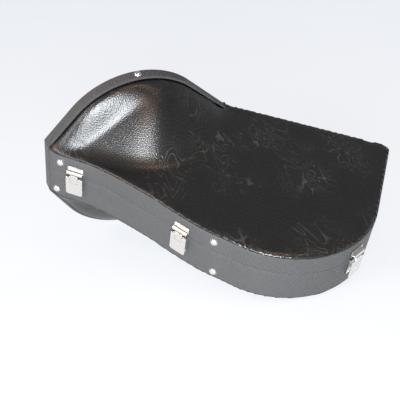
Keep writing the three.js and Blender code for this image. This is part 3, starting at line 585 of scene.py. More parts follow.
# ---- Mouth boards and bands ---------------------------------------------------------------------
# A flat board closes each half of the mouth. A stout band, wrapped in the wall's vinyl, is glued and
# stapled round it, and stands a little proud of the hump with a rounded edge.
BAND_WALL = 4.0
BAND_EDGE = 1.6
BAND_STEPS = 4
BOARD_WALL = 5.0
BOARD_EDGE = 0.5
back_slope = math.tan(BACK_ANGLE)
for half in (lid, base):
    bm = bmesh.new()
    run = [spot for spot in half.mouth_run(UNDER_BAND) if spot.y < HALF_MOUTH - UNDER_BAND]
    edge_height = half.mouth_height(HALF_MOUTH, UNDER_BAND) * half.sign
    run += [Vector((0, HALF_MOUTH, edge_height)), Vector((0, HALF_MOUTH, 0.2 * half.sign))]
    board = bm.faces.new([bm.verts.new(spot) for spot in run])
    inner = verts_in(bmesh.ops.extrude_face_region(bm, geom=[board]))
    bmesh.ops.translate(bm, vec=(BOARD_WALL, 0, 0), verts=inner)
    for vert in inner:
        if vert.co.y > HALF_MOUTH - 0.1:
            vert.co.y += BOARD_WALL * back_slope
    bmesh.ops.recalc_face_normals(bm, faces=bm.faces)
    made = put_in_place(bm, f"{half.name}_mouth_board_skin", wall_skin, half.name)
    round_edges(made, BOARD_EDGE, 2)
    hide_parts(f"{half.name}_mouth_board")

    bm = bmesh.new()
    outline = half.mouth_run(0.0)
    outline[-1].z = half.sign * (half.flat + 0.3)
    draw_out(bm, line(bm, outline)[1], (BAND_WIDTH / BAND_STEPS, 0, 0), BAND_STEPS)
    bm.normal_update()
    face_away(bm, (0, 0, 0))
    made = put_in_place(bm, f"{half.name}_band_skin", wall_skin, half.name, creased=None)
    thicken(made, BAND_WALL, BAND_EDGE, 4)
    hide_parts(f"{half.name}_band")


# ---- Nickelled hardware -------------------------------------------------------------------------
# Latches, hinges, loops and studs are pressed or turned steel, plated in bright nickel that has dulled
# a little and picked up fine scratches.
def nickel_plate():
    material, tree, shader, add = blank_material("nickel_plate")
    place = add("TexCoord").outputs["Object"]
    haze = add("TexNoise", {"Vector": place, "Scale": 180.0, "Detail": 4.0})
    drawn = add("Mapping", {"Vector": place, "Scale": (60.0, 900.0, 60.0), "Rotation": (0.3, 0.5, 0.9)})
    hairs = add("TexNoise", {"Vector": drawn.outputs[0], "Scale": 4.0, "Detail": 2.0})
    dull = ranged(add, haze.outputs["Fac"], 0.35, 0.7, 0.13, 0.27)
    tree.links.new(dull, shader.inputs["Roughness"])
    tint = blend(add, haze.outputs["Fac"], (0.86, 0.85, 0.83, 1), (0.76, 0.735, 0.69, 1))
    tree.links.new(tint, shader.inputs["Base Color"])
    raise_grain(tree, shader, add, hairs.outputs["Fac"], 0.08, 0.0001)
    shader.inputs["Metallic"].default_value = 1.0
    return material


nickel = nickel_plate()


def turned(profile, steps=48):
    """A body of revolution about z from a profile of (radius, height)."""
    bm = bmesh.new()
    verts, edges = line(bm, [(radius, 0, height) for radius, height in profile])
    bmesh.ops.spin(
        bm,
        geom=verts + edges,
        cent=(0, 0, 0),
        axis=(0, 0, 1),
        angle=math.tau,
        steps=steps,
        use_merge=True,
        use_duplicate=False,
    )
    bmesh.ops.remove_doubles(bm, verts=bm.verts, dist=1e-4)
    bmesh.ops.recalc_face_normals(bm, faces=bm.faces)
    return bm


def stud_head(radius, height, rim=0.6, steps=9):
    """A domed head with a thin rolled rim, its back at z 0 and its dome upwards."""
    profile = [(0, height)]
    for i in range(1, steps):
        angle = math.pi / 2 * i / steps
        profile.append((radius * 0.94 * math.sin(angle), rim + (height - rim) * math.cos(angle)))
    profile += [(radius * 0.95, 0.75), (radius, 0.62), (radius, 0.0), (radius * 0.86, -0.3), (0, -0.3)]
    return turned(profile)


STUD_RADIUS = 6.8
STUD_HEIGHT = 5.0
FOOT_HEIGHT = 5.8
GAP = 0.3


def standing(at, outward):
    """A place in the case with z along outward."""
    outward = Vector(outward).normalized()
    side = Vector((0, 0, 1)).cross(outward)
    if side.length < 0.1:
        side = Vector((1, 0, 0))
    side.normalize()
    turn = Matrix((side, outward.cross(side), outward)).transposed()
    return case_place @ Matrix.Translation(Vector(at) * MM) @ turn.to_4x4()


FOOT_REACH = 97.45
FOOT_FROM_EDGE = 18
FOOT_EXTRA_RADIUS = 1.0
MOUTH_STUD_ACROSS = 152
foot_side = math.sqrt((ROUND_RADIUS - FOOT_FROM_EDGE) ** 2 - FOOT_REACH**2)
studs = []
for name, body, distance, height in (
    ("stud_front_lid", "lid", 48, 21.0),
    ("stud_front_base", "base", 39, -44.0),
    ("stud_bulge_lid", "lid", 355, 21.0),
    ("stud_bulge_base", "base", 361, -46.0),
):
    spot, way = wall_spot(distance)
    outward = Vector((way.y, -way.x, 0))
    studs.append((name, body, spot + outward * GAP + Vector((0, 0, height)), outward, STUD_HEIGHT))
for half in (lid, base):
    top = (BAND_WIDTH / 2, HUMP_ACROSS, half.sign * (half.circle + HUMP_RADIUS + GAP))
    studs.append((f"stud_band_{half.name}", half.name, top, (0, 0, half.sign), STUD_HEIGHT))
for side, across in (("front", -MOUTH_STUD_ACROSS), ("back", MOUTH_STUD_ACROSS)):
    studs.append((f"stud_mouth_lid_{side}", "lid", (-GAP, across, 31.3), (-1, 0, 0), STUD_HEIGHT))
    studs.append((f"stud_mouth_base_{side}", "base", (-GAP, across, -50.8), (-1, 0, 0), STUD_HEIGHT))
for name, side in (("foot_front", -1), ("foot_back", 1)):
    spot = (round_centre.x + FOOT_REACH, round_centre.y + side * foot_side, -base.flat - GAP)
    studs.append((name, "base", spot, (0, 0, -1), FOOT_HEIGHT))
for name, body, spot, outward, height in studs:
    radius = STUD_RADIUS + (FOOT_EXTRA_RADIUS if name.startswith("foot") else 0.0)
    head = put_in_place(stud_head(radius, height), f"{name}_head", nickel, body, standing(spot, outward), 50)
    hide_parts(name)


def fitting_place(joint, facing, out, up):
    """The place of a fitting on its wall, from the joint it turns on: x along the wall, -y out of it."""
    x = Vector(joints[joint]["axis"]).normalized() * facing
    y = up_axis.cross(x)
    origin = Vector(joints[joint]["pos_m"]) + (y * out - up_axis * up) * MM
    turn = Matrix((x, y, up_axis)).transposed()
    return Matrix.Translation(origin) @ turn.to_4x4()


def rounded_plate(width, low, high, corners, wall, outward, bottom_only=False, steps=6):
    """A flat plate on the wall, with rounded corners, its face at outward + wall."""
    bm = bmesh.new()
    half = width / 2
    ring = []
    for cx, cz, start, is_top in (
        (half, low, -90, False),
        (half, high, 0, True),
        (-half, high, 90, True),
        (-half, low, 180, False),
    ):
        radius = 0.4 if (bottom_only and is_top) else corners
        centre = Vector((cx - math.copysign(radius, cx), 0, cz + (-radius if is_top else radius)))
        for i in range(steps + 1):
            angle = math.radians(start + 90 * i / steps)
            ring.append(bm.verts.new(centre + Vector((math.cos(angle), 0, math.sin(angle))) * radius))
    face = bm.faces.new(ring)
    bmesh.ops.translate(bm, vec=(0, -outward, 0), verts=bm.verts)
    front = verts_in(bmesh.ops.extrude_face_region(bm, geom=[face]))
    bmesh.ops.translate(bm, vec=(0, -wall, 0), verts=front)
    bmesh.ops.recalc_face_normals(bm, faces=bm.faces)
    return bm


def rod(radius, x0, x1, y, z, steps=20):
    """A round bar along x."""
    bm = bmesh.new()
    turn = Matrix.Translation(((x0 + x1) / 2, y, z)) @ Matrix.Rotation(math.pi / 2, 4, "Y")
    bmesh.ops.create_cone(
        bm, cap_ends=True, segments=steps, radius1=radius, radius2=radius, depth=x1 - x0, matrix=turn
    )
    return bm


def block(x, y, z):
    """A square-cornered block between two limits each way."""
    bm = bmesh.new()
    size = Matrix.Diagonal((x[1] - x[0], y[1] - y[0], z[1] - z[0], 1))
    middle = Matrix.Translation(((x[0] + x[1]) / 2, (y[0] + y[1]) / 2, (z[0] + z[1]) / 2))
    bmesh.ops.create_cube(bm, size=1, matrix=middle @ size)
    return bm


def rivet_heads(radius, height, out, spots):
    """Rivet heads standing out of a fitting's plate, at (along, up) spots."""
    heads = []
    for x, z in spots:
        head = stud_head(radius, height)
        turn = Matrix.Translation((x, -out, z)) @ Matrix.Rotation(math.pi / 2, 4, "X")
        bmesh.ops.transform(head, matrix=turn, verts=head.verts)
        heads.append(head)
    return heads


def gathered(*parts):
    """Several closed bodies as one mesh."""
    mesh = bpy.data.meshes.new("gathered")
    whole = bmesh.new()
    for part in parts:
        part.to_mesh(mesh)
        part.free()
        whole.from_mesh(mesh)
    bpy.data.meshes.remove(mesh)
    return whole


# ---- Draw latches -------------------------------------------------------------------------------
# Three draw latches hold the lid down. A pressed lever with an embossed square turns on a pin between
# the ears of its plate, and its claw reaches up under the curled lip of the keeper on the lid.
PIVOT_OUT = 4.6
PIVOT_UP = -1.0
CLAW_OUT = 7.6
CLAW_UP = -9.0
LEVER_WIDTH = 30.5
LEVER_BOTTOM = -37.0
LEVER_BACK = 6.85
LEVER_FACE = 8.35
NOTCH = 15.0
SQUARE_UP = -22.0
EAR_MIDDLE = 9.75
PIN_HALF = 13.5
PLATE_RIVETS = ((-6, -12), (6, -12), (-6, -31), (6, -31))
CLAW_WIDTH = 14.2
CURL_PATH = (
    (0.9, 12.6), (2.4, 12.9), (4.0, 12.6), (5.4, 11.7), (6.3, 10.4), (6.6, 9.0), (6.6, 7.9), (6.3, 7.2),
)


def lever_shape():
    """The lever's sheet: rounded below, with a slot above for the claw."""
    bm = rounded_plate(LEVER_WIDTH, LEVER_BOTTOM, 1.0, 4.5, LEVER_FACE - LEVER_BACK, LEVER_BACK, True)
    for at, across in ((-NOTCH / 2, (1, 0, 0)), (NOTCH / 2, (1, 0, 0)), (CLAW_UP - 2.2, (0, 0, 1))):
        every = bm.verts[:] + bm.edges[:] + bm.faces[:]
        bmesh.ops.bisect_plane(bm, geom=every, plane_co=Vector(across) * at, plane_no=across, dist=1e-4)
    slot = []
    for face in bm.faces:
        middle = face.calc_center_median()
        if abs(middle.x) < NOTCH / 2 - 0.1 and middle.z > CLAW_UP - 2.1:
            slot.append(face)
    bmesh.ops.delete(bm, geom=slot, context="FACES")
    bmesh.ops.holes_fill(bm, edges=[edge for edge in bm.edges if edge.is_boundary], sides=0)
    bmesh.ops.recalc_face_normals(bm, faces=bm.faces)
    return bm


def embossed_square():
    """A thin raised frame and a dot in its middle, pressed out of the lever's face."""
    bm = bmesh.new()
    flat = Matrix.Rotation(math.pi / 2, 4, "X") @ Matrix.Diagonal((0.86, 1.0, 1.0, 1.0))
    bmesh.ops.create_grid(bm, x_segments=1, y_segments=1, size=5.8, matrix=flat)
    bmesh.ops.translate(bm, vec=(0, -LEVER_FACE, SQUARE_UP), verts=bm.verts)
    outer = bm.faces[:]
    bmesh.ops.inset_region(bm, faces=outer, thickness=0.8)
    bmesh.ops.delete(bm, geom=outer, context="FACES")
    raised = verts_in(bmesh.ops.extrude_face_region(bm, geom=bm.faces[:]))
    bmesh.ops.translate(bm, vec=(0, -0.4, 0), verts=raised)
    bmesh.ops.recalc_face_normals(bm, faces=bm.faces)
    dot = rod(1.2, -0.35, 0.35, 0, 0, 16)
    turn = Matrix.Translation((0, -LEVER_FACE - 0.1, SQUARE_UP)) @ Matrix.Rotation(math.pi / 2, 4, "Z")
    bmesh.ops.transform(dot, matrix=turn, verts=dot.verts)
    return gathered(bm, dot)


def curled_strip(width, path, wall):
    """A strip of sheet bent along a path of (outward, up) spots."""
    bm = bmesh.new()
    draw_out(bm, line(bm, [(-width / 2, -out, up) for out, up in path])[1], (width, 0, 0))
    bmesh.ops.solidify(bm, geom=bm.faces[:], thickness=wall)
    bmesh.ops.recalc_face_normals(bm, faces=bm.faces)
    return bm


for side in ("left", "middle", "right"):
    place = fitting_place(f"latch_{side}_lever_hinge", -1, PIVOT_OUT, PIVOT_UP)

    ears = []
    for middle in (-EAR_MIDDLE, EAR_MIDDLE):
        ears.append(rod(1.9, middle - 0.75, middle + 0.75, -PIVOT_OUT, PIVOT_UP))
    for middle in (-EAR_MIDDLE, EAR_MIDDLE):
        ears.append(block((middle - 0.75, middle + 0.75), (-6.3, -1.0), (-6, PIVOT_UP)))
    rivets = rivet_heads(1.7, 0.9, 1.3, PLATE_RIVETS)
    back = gathered(rounded_plate(26, -35, -3, 2.5, 1.0, GAP), *ears, *rivets)
    plate = put_in_place(back, f"latch_{side}_back_plate", nickel, "base", place)
    round_edges(plate, 0.2, 2)
    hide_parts(f"latch_{side}_plate")

    whole = rod(1.2, -PIN_HALF, PIN_HALF, -PIVOT_OUT, PIVOT_UP)
    pin = put_in_place(whole, f"latch_{side}_axle", nickel, "base", place)
    round_edges(pin, 0.25, 2)
    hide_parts(f"latch_{side}_pin")

    lugs = [block(sorted((s * 11.8, s * 13.1)), (-7.3, -2.4), (-3.2, 0.9)) for s in (-1, 1)]
    whole = gathered(lever_shape(), embossed_square(), *lugs)
    lever = put_in_place(whole, f"latch_{side}_thumb_lever", nickel, f"lever_{side}", place)
    round_edges(lever, 0.35, 3)
    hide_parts(f"latch_{side}_lever")

    whole = gathered(
        rounded_plate(CLAW_WIDTH, CLAW_UP - 1.9, 6.2, 1.4, 1.3, LEVER_BACK + 0.1),
        rod(0.6, -CLAW_WIDTH / 2, CLAW_WIDTH / 2, -CLAW_OUT, CLAW_UP),
    )
    claw = put_in_place(whole, f"latch_{side}_hook", nickel, f"claw_{side}", place)
    round_edges(claw, 0.3, 2)
    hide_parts(f"latch_{side}_claw")

    whole = gathered(rounded_plate(29, 6.4, 20, 3.0, 1.0, GAP), curled_strip(28, CURL_PATH, 0.9))
    keeper = put_in_place(whole, f"latch_{side}_keeper", nickel, "lid", place)
    round_edges(keeper, 0.25, 2)
    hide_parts(f"latch_{side}_catch")


# ---- Hinges -------------------------------------------------------------------------------------
# Two leaf hinges on the straight back, each riveted through the wall, with three knuckles on one pin.
HINGE_FROM_MOUTH = 44
HINGE_FROM_CORNER = 55
HINGE_SPREAD = BACK_LENGTH - HINGE_FROM_MOUTH - HINGE_FROM_CORNER
HINGE_OUT = 3.2
HINGE_RADIUS = 2.6
HINGE_HALF = 20
near_place = fitting_place("lid_hinge", 1, HINGE_OUT, 0.0)
for name, shift in (("near", 0.0), ("far", HINGE_SPREAD)):
    place = near_place @ Matrix.Translation((-shift * MM, 0, 0))
    for leaf, sign, knuckles in (
        ("base", -1, ((-HINGE_HALF, -6.8), (6.8, HINGE_HALF))),
        ("lid", 1, ((-6.5, 6.5),)),
    ):
        low, high = sorted((sign * 3.2, sign * 18))
        rolls = [rod(HINGE_RADIUS, a, b, -HINGE_OUT, 0, 28) for a, b in knuckles]
        necks = [block((a, b), (-1.5, -0.3), sorted((0, sign * 4))) for a, b in knuckles]
        heads = rivet_heads(2.1, 1.1, 1.5, [(x, sign * 11.5) for x in (-13, 0, 13)])
        flap = rounded_plate(2 * HINGE_HALF, low, high, 2.0, 1.2, GAP)
        whole = gathered(flap, *rolls, *necks, *heads)
        made = put_in_place(whole, f"hinge_{name}_{leaf}_flap", nickel, leaf, place)
        round_edges(made, 0.25, 2)
        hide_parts(f"hinge_{name}_{leaf}_leaf")
    whole = rod(1.3, -HINGE_HALF, HINGE_HALF, -HINGE_OUT, 0)
    pin = put_in_place(whole, f"hinge_{name}_axle", nickel, "base", place)
    round_edges(pin, 0.3, 2)
    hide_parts(f"hinge_{name}_pin")


# ---- Handle -------------------------------------------------------------------------------------
# A moulded grip hangs on two bent wire loops, which swing in eyes on riveted plates.
def grip_plastic():
    material, tree, shader, add = blank_material("grip_plastic")
    place = add("TexCoord").outputs["Object"]
    fine = add("TexNoise", {"Vector": place, "Scale": 900.0, "Detail": 3.0})
    haze = add("TexNoise", {"Vector": place, "Scale": 60.0, "Detail": 4.0})
    gloss = ranged(add, haze.outputs["Fac"], 0.3, 0.7, 0.34, 0.5)
    tree.links.new(gloss, shader.inputs["Roughness"])
    tint = blend(add, haze.outputs["Fac"], (0.012, 0.012, 0.012, 1), (0.022, 0.021, 0.020, 1))
    tree.links.new(tint, shader.inputs["Base Color"])
    raise_grain(tree, shader, add, fine.outputs["Fac"], 0.25, 0.0002)
    return material


HANDLE_UP = -24.0
HANDLE_OUT = 6.2
HANDLE_SPAN = 106.0
HANDLE_DROP = 22.0
HANDLE_LEAN = 0.06
WIRE_RADIUS = 2.0
LOOP_INWARD = 7
GRIP_MEETS = 38.3
handle_place = fitting_place("handle_swing", -1, HANDLE_OUT, HANDLE_UP)
for name, sign in (("left", -1), ("right", 1)):
    x = sign * HANDLE_SPAN / 2
    plate = rounded_plate(16, HANDLE_UP - 12, HANDLE_UP + 12, 3.0, 1.2, GAP)
    bmesh.ops.translate(plate, vec=(x, 0, 0), verts=plate.verts)
    eye = rod(4.2, x - 3, x + 3, -HANDLE_OUT, HANDLE_UP, 28)
    neck = block((x - 3, x + 3), (-HANDLE_OUT, -1.2), (HANDLE_UP - 4, HANDLE_UP + 4))
    heads = rivet_heads(2.0, 1.1, 1.5, ((x, HANDLE_UP - 8.5), (x, HANDLE_UP + 8.5)))
    whole = gathered(plate, eye, neck, *heads)
    post = put_in_place(whole, f"handle_{name}_eye", nickel, "base", handle_place)
    round_edges(post, 0.35, 2)
    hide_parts(f"handle_post_{name}")

    inner = HANDLE_SPAN / 2 - LOOP_INWARD
    leg = inner - 4
    low = HANDLE_DROP
    corners = [(HANDLE_SPAN / 2 + 6, 0), (inner + 1, 0), (leg, 0), (leg, 5)]
    corners += [(leg, low - 5), (leg, low), (GRIP_MEETS - 8, low)]
    wire = bpy.data.curves.new(f"handle_{name}_wire", "CURVE")
    wire.dimensions = "3D"
    wire.bevel_depth = WIRE_RADIUS * MM
    wire.bevel_resolution = 5
    wire.use_fill_caps = True
    bends = wire.splines.new("POLY")
    path = []
    for along, down in corners:
        path.append(Vector((sign * along, -HANDLE_OUT - down * HANDLE_LEAN, HANDLE_UP - down)))
    smooth = [path[0], path[1]]
    smooth += interpolate_bezier(path[1], path[2], path[2], path[3], 8)[1:]
    smooth += interpolate_bezier(path[4], path[5], path[5], path[6].lerp(path[5], 0.4), 8)
    smooth.append(path[6])
    bends.points.add(len(smooth) - 1)
    for point, here in zip(bends.points, smooth):
        point.co = (*(here * MM), 1)
    holder = bpy.data.objects.new("wire", wire)
    bpy.context.collection.objects.link(holder)
    bpy.context.view_layer.update()
    shape = bpy.data.meshes.new_from_object(holder.evaluated_get(bpy.context.evaluated_depsgraph_get()))
    bpy.data.objects.remove(holder)
    bm = bmesh.new()
    bm.from_mesh(shape)
    bmesh.ops.scale(bm, vec=(1 / MM, 1 / MM, 1 / MM), verts=bm.verts)
    bmesh.ops.remove_doubles(bm, verts=bm.verts, dist=1e-3)
    bmesh.ops.recalc_face_normals(bm, faces=bm.faces)
    loop = put_in_place(bm, f"handle_{name}_wire_loop", nickel, "handle", handle_place, 60)
    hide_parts(f"handle_loop_{name}")

# The grip is oval, waisted a little at its ends, with finger ridges moulded underneath.
GRIP_HALF = 38.0
GRIP_THICK = 6.0
GRIP_DEEP = 8.0
GRIP_END_ROUND = 3.5
RIDGE_HIGH = 0.35
RIDGE_STEP = 11
bm = bmesh.new()
bmesh.ops.create_circle(bm, cap_ends=False, segments=36, radius=1.0)
bmesh.ops.rotate(bm, verts=bm.verts, cent=(0, 0, 0), matrix=Matrix.Rotation(math.pi / 2, 3, "Y"))
edges = bm.edges[:]
rings = [bm.verts[:]]
for _ in range(48):
    grown = bmesh.ops.extrude_edge_only(bm, edges=edges)
    rings.append(verts_in(grown))
    edges = edges_in(grown)
for i, ring in enumerate(rings):
    share = i / (len(rings) - 1)
    x = -GRIP_HALF * math.cos(math.pi * share)
    end = 1 - 0.16 * (abs(x) / GRIP_HALF) ** 4
    past = max(0.0, abs(x) - GRIP_HALF + GRIP_END_ROUND) / GRIP_END_ROUND
    lip = 0.42 + 0.58 * math.sqrt(max(0.0, 1 - past**2))
    for vert in ring:
        y, z = vert.co.y, vert.co.z
        ridged = z < -0.2 and abs(x) < 31
        ridge = RIDGE_HIGH * math.cos(x * math.tau / RIDGE_STEP) if ridged else 0.0
        vert.co = (x, y * GRIP_THICK * end * lip, z * (GRIP_DEEP * end - RIDGE_HIGH + ridge) * lip)
bmesh.ops.holes_fill(bm, edges=bm.edges, sides=0)
bmesh.ops.recalc_face_normals(bm, faces=bm.faces)
grip_middle = (0, -HANDLE_OUT - HANDLE_DROP * HANDLE_LEAN - GAP, HANDLE_UP - HANDLE_DROP)
bmesh.ops.translate(bm, vec=grip_middle, verts=bm.verts)
grip = put_in_place(bm, "handle_moulded_grip", grip_plastic(), "handle", handle_place, 60)
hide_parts("handle_grip")


# ---- Rim tongue ---------------------------------------------------------------------------------
# A vinyl-faced strip of fibreboard stands inside the base wall and rises past the parting line, so
# that the lid closes over it and cannot slide sideways.
def moved_in(spots, distance):
    """A line of spots moved inwards, to the left of the way it runs."""
    moved = []
    for i, spot in enumerate(spots):
        before = spots[max(i - 1, 0)]
        after = spots[min(i + 1, len(spots) - 1)]
        way = (after - before).normalized()
        moved.append(spot + Vector((-way.y, way.x, 0)) * distance)
    return moved


def rim_board():
    material, tree, shader, add = blank_material("rim_board")
    place = add("TexCoord").outputs["Object"]
    grain = add("Group", {}, node_tree=wavy)
    tree.links.new(place, grain.inputs["Vector"])
    grain.inputs["Ridges per metre"].default_value = 140.0
    tint = blend(add, grain.outputs["Mottle"], (0.014, 0.014, 0.014, 1), (0.028, 0.027, 0.027, 1))
    tree.links.new(tint, shader.inputs["Base Color"])
    raise_grain(tree, shader, add, grain.outputs["Height"], 0.3, 0.0003)
    shader.inputs["Roughness"].default_value = 0.6
    return material


TONGUE_LOW = -22.0
TONGUE_HIGH = 6.0
TONGUE_WALL = 1.6
tongue_run = moved_in(visible_run, WALL + GAP)
bm = strip(tongue_run, TONGUE_LOW, TONGUE_HIGH, 2)
bm.normal_update()
face_away(bm, CASE_MIDDLE)
tongue = put_in_place(bm, "rim_tongue_strip", rim_board(), "base", creased=None)
thicken(tongue, TONGUE_WALL, 0.4, 2)
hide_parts("rim_tongue")


# ---- Plush linings ------------------------------------------------------------------------------
# Both halves are lined in wine-red plush, glued over thin foam. It follows the hump and climbs the
# walls with a rounded turn at the floor and a folded edge at the rim.
def plush(name, deep, light):
    material, tree, shader, add = blank_material(name)
    place = add("TexCoord").outputs["Object"]
    nap = add("TexNoise", {"Vector": place, "Scale": 1500.0, "Detail": 4.0, "Roughness": 0.7})
    brushed = add("TexNoise", {"Vector": place, "Scale": 28.0, "Detail": 3.0, "Distortion": 0.8})
    lay = ranged(add, brushed.outputs["Fac"], 0.35, 0.65)
    tint = blend(add, lay, (*deep, 1), (*light, 1))
    tree.links.new(tint, shader.inputs["Base Color"])
    soft = add(
        "Math", {0: brushed.outputs["Fac"], 1: 0.5, 2: nap.outputs["Fac"]}, operation="MULTIPLY_ADD"
    )
    raise_grain(tree, shader, add, soft.outputs[0], 0.6, 0.0006)
    shader.inputs["Roughness"].default_value = 0.92
    shader.inputs["Sheen Weight"].default_value = 0.55
    shader.inputs["Sheen Roughness"].default_value = 0.4
    shader.inputs["Sheen Tint"].default_value = (0.95, 0.62, 0.66, 1)
    shader.inputs["Specular IOR Level"].default_value = 0.2
    return material


lining_plush = plush("lining_plush", (0.085, 0.008, 0.018), (0.16, 0.016, 0.034))
pad_plush = plush("pad_plush", (0.07, 0.007, 0.015), (0.13, 0.013, 0.028))
INSIDE_WALL = 6.2
LINING_WALL = 1.5
FLOOR_TURN = 12.0
UNDER_PANEL = 0.4
BASE_FOAM = 9.0
LID_FOAM = 6.0


def lining(half, thickness, rim):
    """One sheet of plush: a floor under the panel, a fillet, and a rise to the rim."""
    bm = plan_cut.copy()
    trim(bm, PANEL_START, INSIDE_WALL)
    side = INSIDE_WALL + thickness
    clear = PANEL_WALL + UNDER_PANEL + thickness
    gone = [vert for vert in bm.verts if rim_distance(vert.co) < INSIDE_WALL - 1.2]
    bmesh.ops.delete(bm, geom=gone, context="VERTS")
    for vert in bm.verts:
        edge = rim_distance(vert.co)
        floor = half.skin_height(vert.co.x, vert.co.y, UNDER_BAND + GAP) - clear
        up = 0.0
        if edge < side + FLOOR_TURN:
            share = min(1.0, (side + FLOOR_TURN - edge) / FLOOR_TURN)
            up = (floor - rim) * (1 - math.sqrt(1 - share**2)) ** 0.8
        vert.co.z = half.sign * (floor - up)
    if half.sign > 0:
        bmesh.ops.reverse_faces(bm, faces=bm.faces)
    made = put_in_place(bm, f"{half.name}_plush_lining", lining_plush, half.name, creased=None)
    thicken(made, LINING_WALL)
    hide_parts(f"{half.name}_lining")


lining(base, BASE_FOAM, 4.0)
lining(lid, LID_FOAM, 8.0)


# ---- Padded supports ----------------------------------------------------------------------------
# Foam blocks covered in the same plush carry the horn: a saddle for the bell's throat, a low rest for
# its tubes, a block for two mouthpieces, and a cushion in the lid. A covered tray holds small things.
def softened(node, name, rounding, body):
    """A cover drawn over a foam block, which eases its edges."""
    source = frame["nodes"][node]
    bm = bmesh.new()
    bm.from_mesh(source.data)
    bmesh.ops.transform(bm, matrix=case_place.inverted(), verts=bm.verts)
    bmesh.ops.scale(bm, vec=(1 / MM, 1 / MM, 1 / MM), verts=bm.verts)
    bmesh.ops.remove_doubles(bm, verts=bm.verts, dist=1e-2)
    bmesh.ops.dissolve_limit(bm, angle_limit=math.radians(4), verts=bm.verts, edges=bm.edges)
    sharp = [e for e in bm.edges if e.is_manifold and e.calc_face_angle(0) > math.radians(30)]
    bmesh.ops.bevel(
        bm,
        geom=sharp,
        offset=rounding,
        offset_type="OFFSET",
        segments=4,
        profile=0.5,
        affect="EDGES",
        clamp_overlap=True,
        material=-1,
    )
    bmesh.ops.triangulate(bm, faces=[f for f in bm.faces if len(f.verts) > 4])
    made = put_in_place(bm, name, pad_plush, body, creased=None)
    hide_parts(node)
    return made


def pad(name, node, body, low, height, width, length):
    """An oval cushion with a crowned face, drawn in at a piped seam."""
    bm = bmesh.new()
    bmesh.ops.create_circle(bm, cap_ends=True, cap_tris=False, segments=96, radius=1.0)
    face = bm.faces[:][0]
    for ring in (0.04, 0.05, 0.07, 0.09, 0.11, 0.13, 0.14):
        bmesh.ops.inset_region(bm, faces=[face], thickness=ring)
    for vert in bm.verts:
        reach = min(1.0, math.hypot(vert.co.x, vert.co.y))
        vert.co.z = math.sqrt(max(0.0, 1 - reach**2.6))
    draw_out(bm, [edge for edge in bm.edges if edge.is_boundary], (0, 0, -1))
    bmesh.ops.holes_fill(bm, edges=bm.edges, sides=0)
    bmesh.ops.recalc_face_normals(bm, faces=bm.faces)
    sign = 1 if height > 0 else -1
    for vert in bm.verts:
        z = 0.0 if vert.co.z < -0.5 else abs(height) * (0.35 + 0.65 * vert.co.z)
        vert.co = (
            round_centre.x + vert.co.x * width / 2,
            round_centre.y + vert.co.y * length / 2,
            low + sign * z,
        )
    bmesh.ops.recalc_face_normals(bm, faces=bm.faces)
    made = put_in_place(bm, name, pad_plush, body, creased=60)
    round_edges(made, 1.2, 3)
    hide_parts(node)


ON_FLOOR = 0.65
BASE_FLOOR = -base.flat + PANEL_WALL + BASE_FOAM + ON_FLOOR
LID_CEILING = lid.flat - PANEL_WALL - LID_FOAM - ON_FLOOR
pad("body_rest_pad", "body_rest", "base", BASE_FLOOR, 16.0, 126.0, 96.0)
pad("lid_cushion", "lid_pad", "lid", LID_CEILING, -12.0, 170.0, 130.0)
for node, name, slot_name, rounding in (
    ("bell_saddle", "bell_saddle_pad", "covered_foam", 5.0),
    ("mouthpiece_block", "mouthpiece_pad", "covered_foam", 2.0),
    ("accessory_tray", "accessory_tray_box", "plush", 1.2),
):
    made = softened(node, name, rounding, "base")


# ---- Floor, light and camera --------------------------------------------------------------------
# A pale floor that glows a little, under an even sky. A cool soft box on the right glances off the
# hump, a second lights the front wall, and small warm ones tint the hump and the rolled front edge.
def floor_paint():
    material, tree, shader, add = blank_material("floor_paint")
    place = add("TexCoord").outputs["Object"]
    cloud = add("TexNoise", {"Vector": place, "Scale": 3.0, "Detail": 2.0})
    tint = blend(add, cloud.outputs["Fac"], (0.19, 0.195, 0.20, 1), (0.22, 0.225, 0.23, 1))
    tree.links.new(tint, shader.inputs["Base Color"])
    glow = blend(add, cloud.outputs["Fac"], (0.88, 0.91, 0.955, 1), (0.89, 0.92, 0.965, 1))
    tree.links.new(glow, shader.inputs["Emission Color"])
    shader.inputs["Emission Strength"].default_value = 0.82
    shader.inputs["Roughness"].default_value = 0.9
    return material


FLOOR_HALF = 14
SKY_COLOUR = (0.93, 0.96, 1.0, 1)
SKY_STRENGTH = 0.34
bm = bmesh.new()
bmesh.ops.create_grid(bm, x_segments=2, y_segments=2, size=FLOOR_HALF)
floor_mesh = bpy.data.meshes.new("floor")
bm.to_mesh(floor_mesh)
bm.free()
floor_mesh.materials.append(floor_paint())
floor = bpy.data.objects.new("floor", floor_mesh)
bpy.context.collection.objects.link(floor)

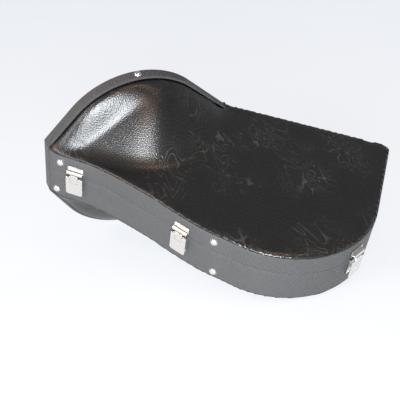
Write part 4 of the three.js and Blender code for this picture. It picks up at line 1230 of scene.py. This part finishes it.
world = bpy.data.worlds.new("studio")
bpy.context.scene.world = world
world.use_nodes = True
sky = world.node_tree.nodes["Background"]
sky.inputs["Color"].default_value = SKY_COLOUR
sky.inputs["Strength"].default_value = SKY_STRENGTH


def soft_box(name, at, aim, size, power, colour):
    lamp = bpy.data.lights.new(name, "AREA")
    lamp.shape = "RECTANGLE"
    lamp.size, lamp.size_y = size
    lamp.energy = power
    lamp.color = colour
    holder = bpy.data.objects.new(name, lamp)
    bpy.context.collection.objects.link(holder)
    turn = (Vector(aim) - Vector(at)).to_track_quat("-Z", "Y").to_matrix().to_4x4()
    holder.matrix_world = Matrix.Translation(at) @ turn


soft_box("hump_box", (1.99, -1.08, 0.46), (-0.10, -0.21, 0.28), (1.0, 0.85), 105, (0.93, 0.97, 1.0))
soft_box("front_box", (0.7, -2.4, 1.0), (0, 0, 0.1), (1.4, 0.9), 30, (0.97, 0.99, 1.0))
soft_box("near_warm_box", (1.72, -0.64, 1.47), (-0.06, -0.13, 0.28), (0.4, 0.4), 5, (1.0, 0.55, 0.30))
soft_box("high_warm_box", (1.06, 0.20, 2.17), (-0.08, -0.11, 0.32), (0.7, 0.3), 7, (1.0, 0.62, 0.38))
soft_box("front_warm_box", (-0.05, -1.9, 2.0), (0, -0.2, 0.15), (1.3, 0.35), 14, (1.0, 0.55, 0.32))

camera_data = bpy.data.cameras.new("camera")
camera = bpy.data.objects.new("camera", camera_data)
bpy.context.collection.objects.link(camera)
camera_data.lens = 73.2
camera_data.sensor_width = 36.0
# Where the camera stands and how it is turned, in the case's own frame.
VIEW_FROM = Vector((1.03934, -0.45013, 0.96230))
VIEW_RIGHT = Vector((0.4140, 0.9052, 0.0966))
VIEW_DOWN = Vector((0.6670, -0.2294, -0.7089))
right = case_turn @ VIEW_RIGHT.normalized()
back = case_turn @ VIEW_RIGHT.cross(-VIEW_DOWN).normalized()
upward = back.cross(right)
look = Matrix((right, upward, back)).transposed().to_4x4()
camera.matrix_world = Matrix.Translation(case_place @ VIEW_FROM) @ look
bpy.context.scene.camera = camera
bpy.context.scene.view_settings.view_transform = "Standard"


plan_cut.free()
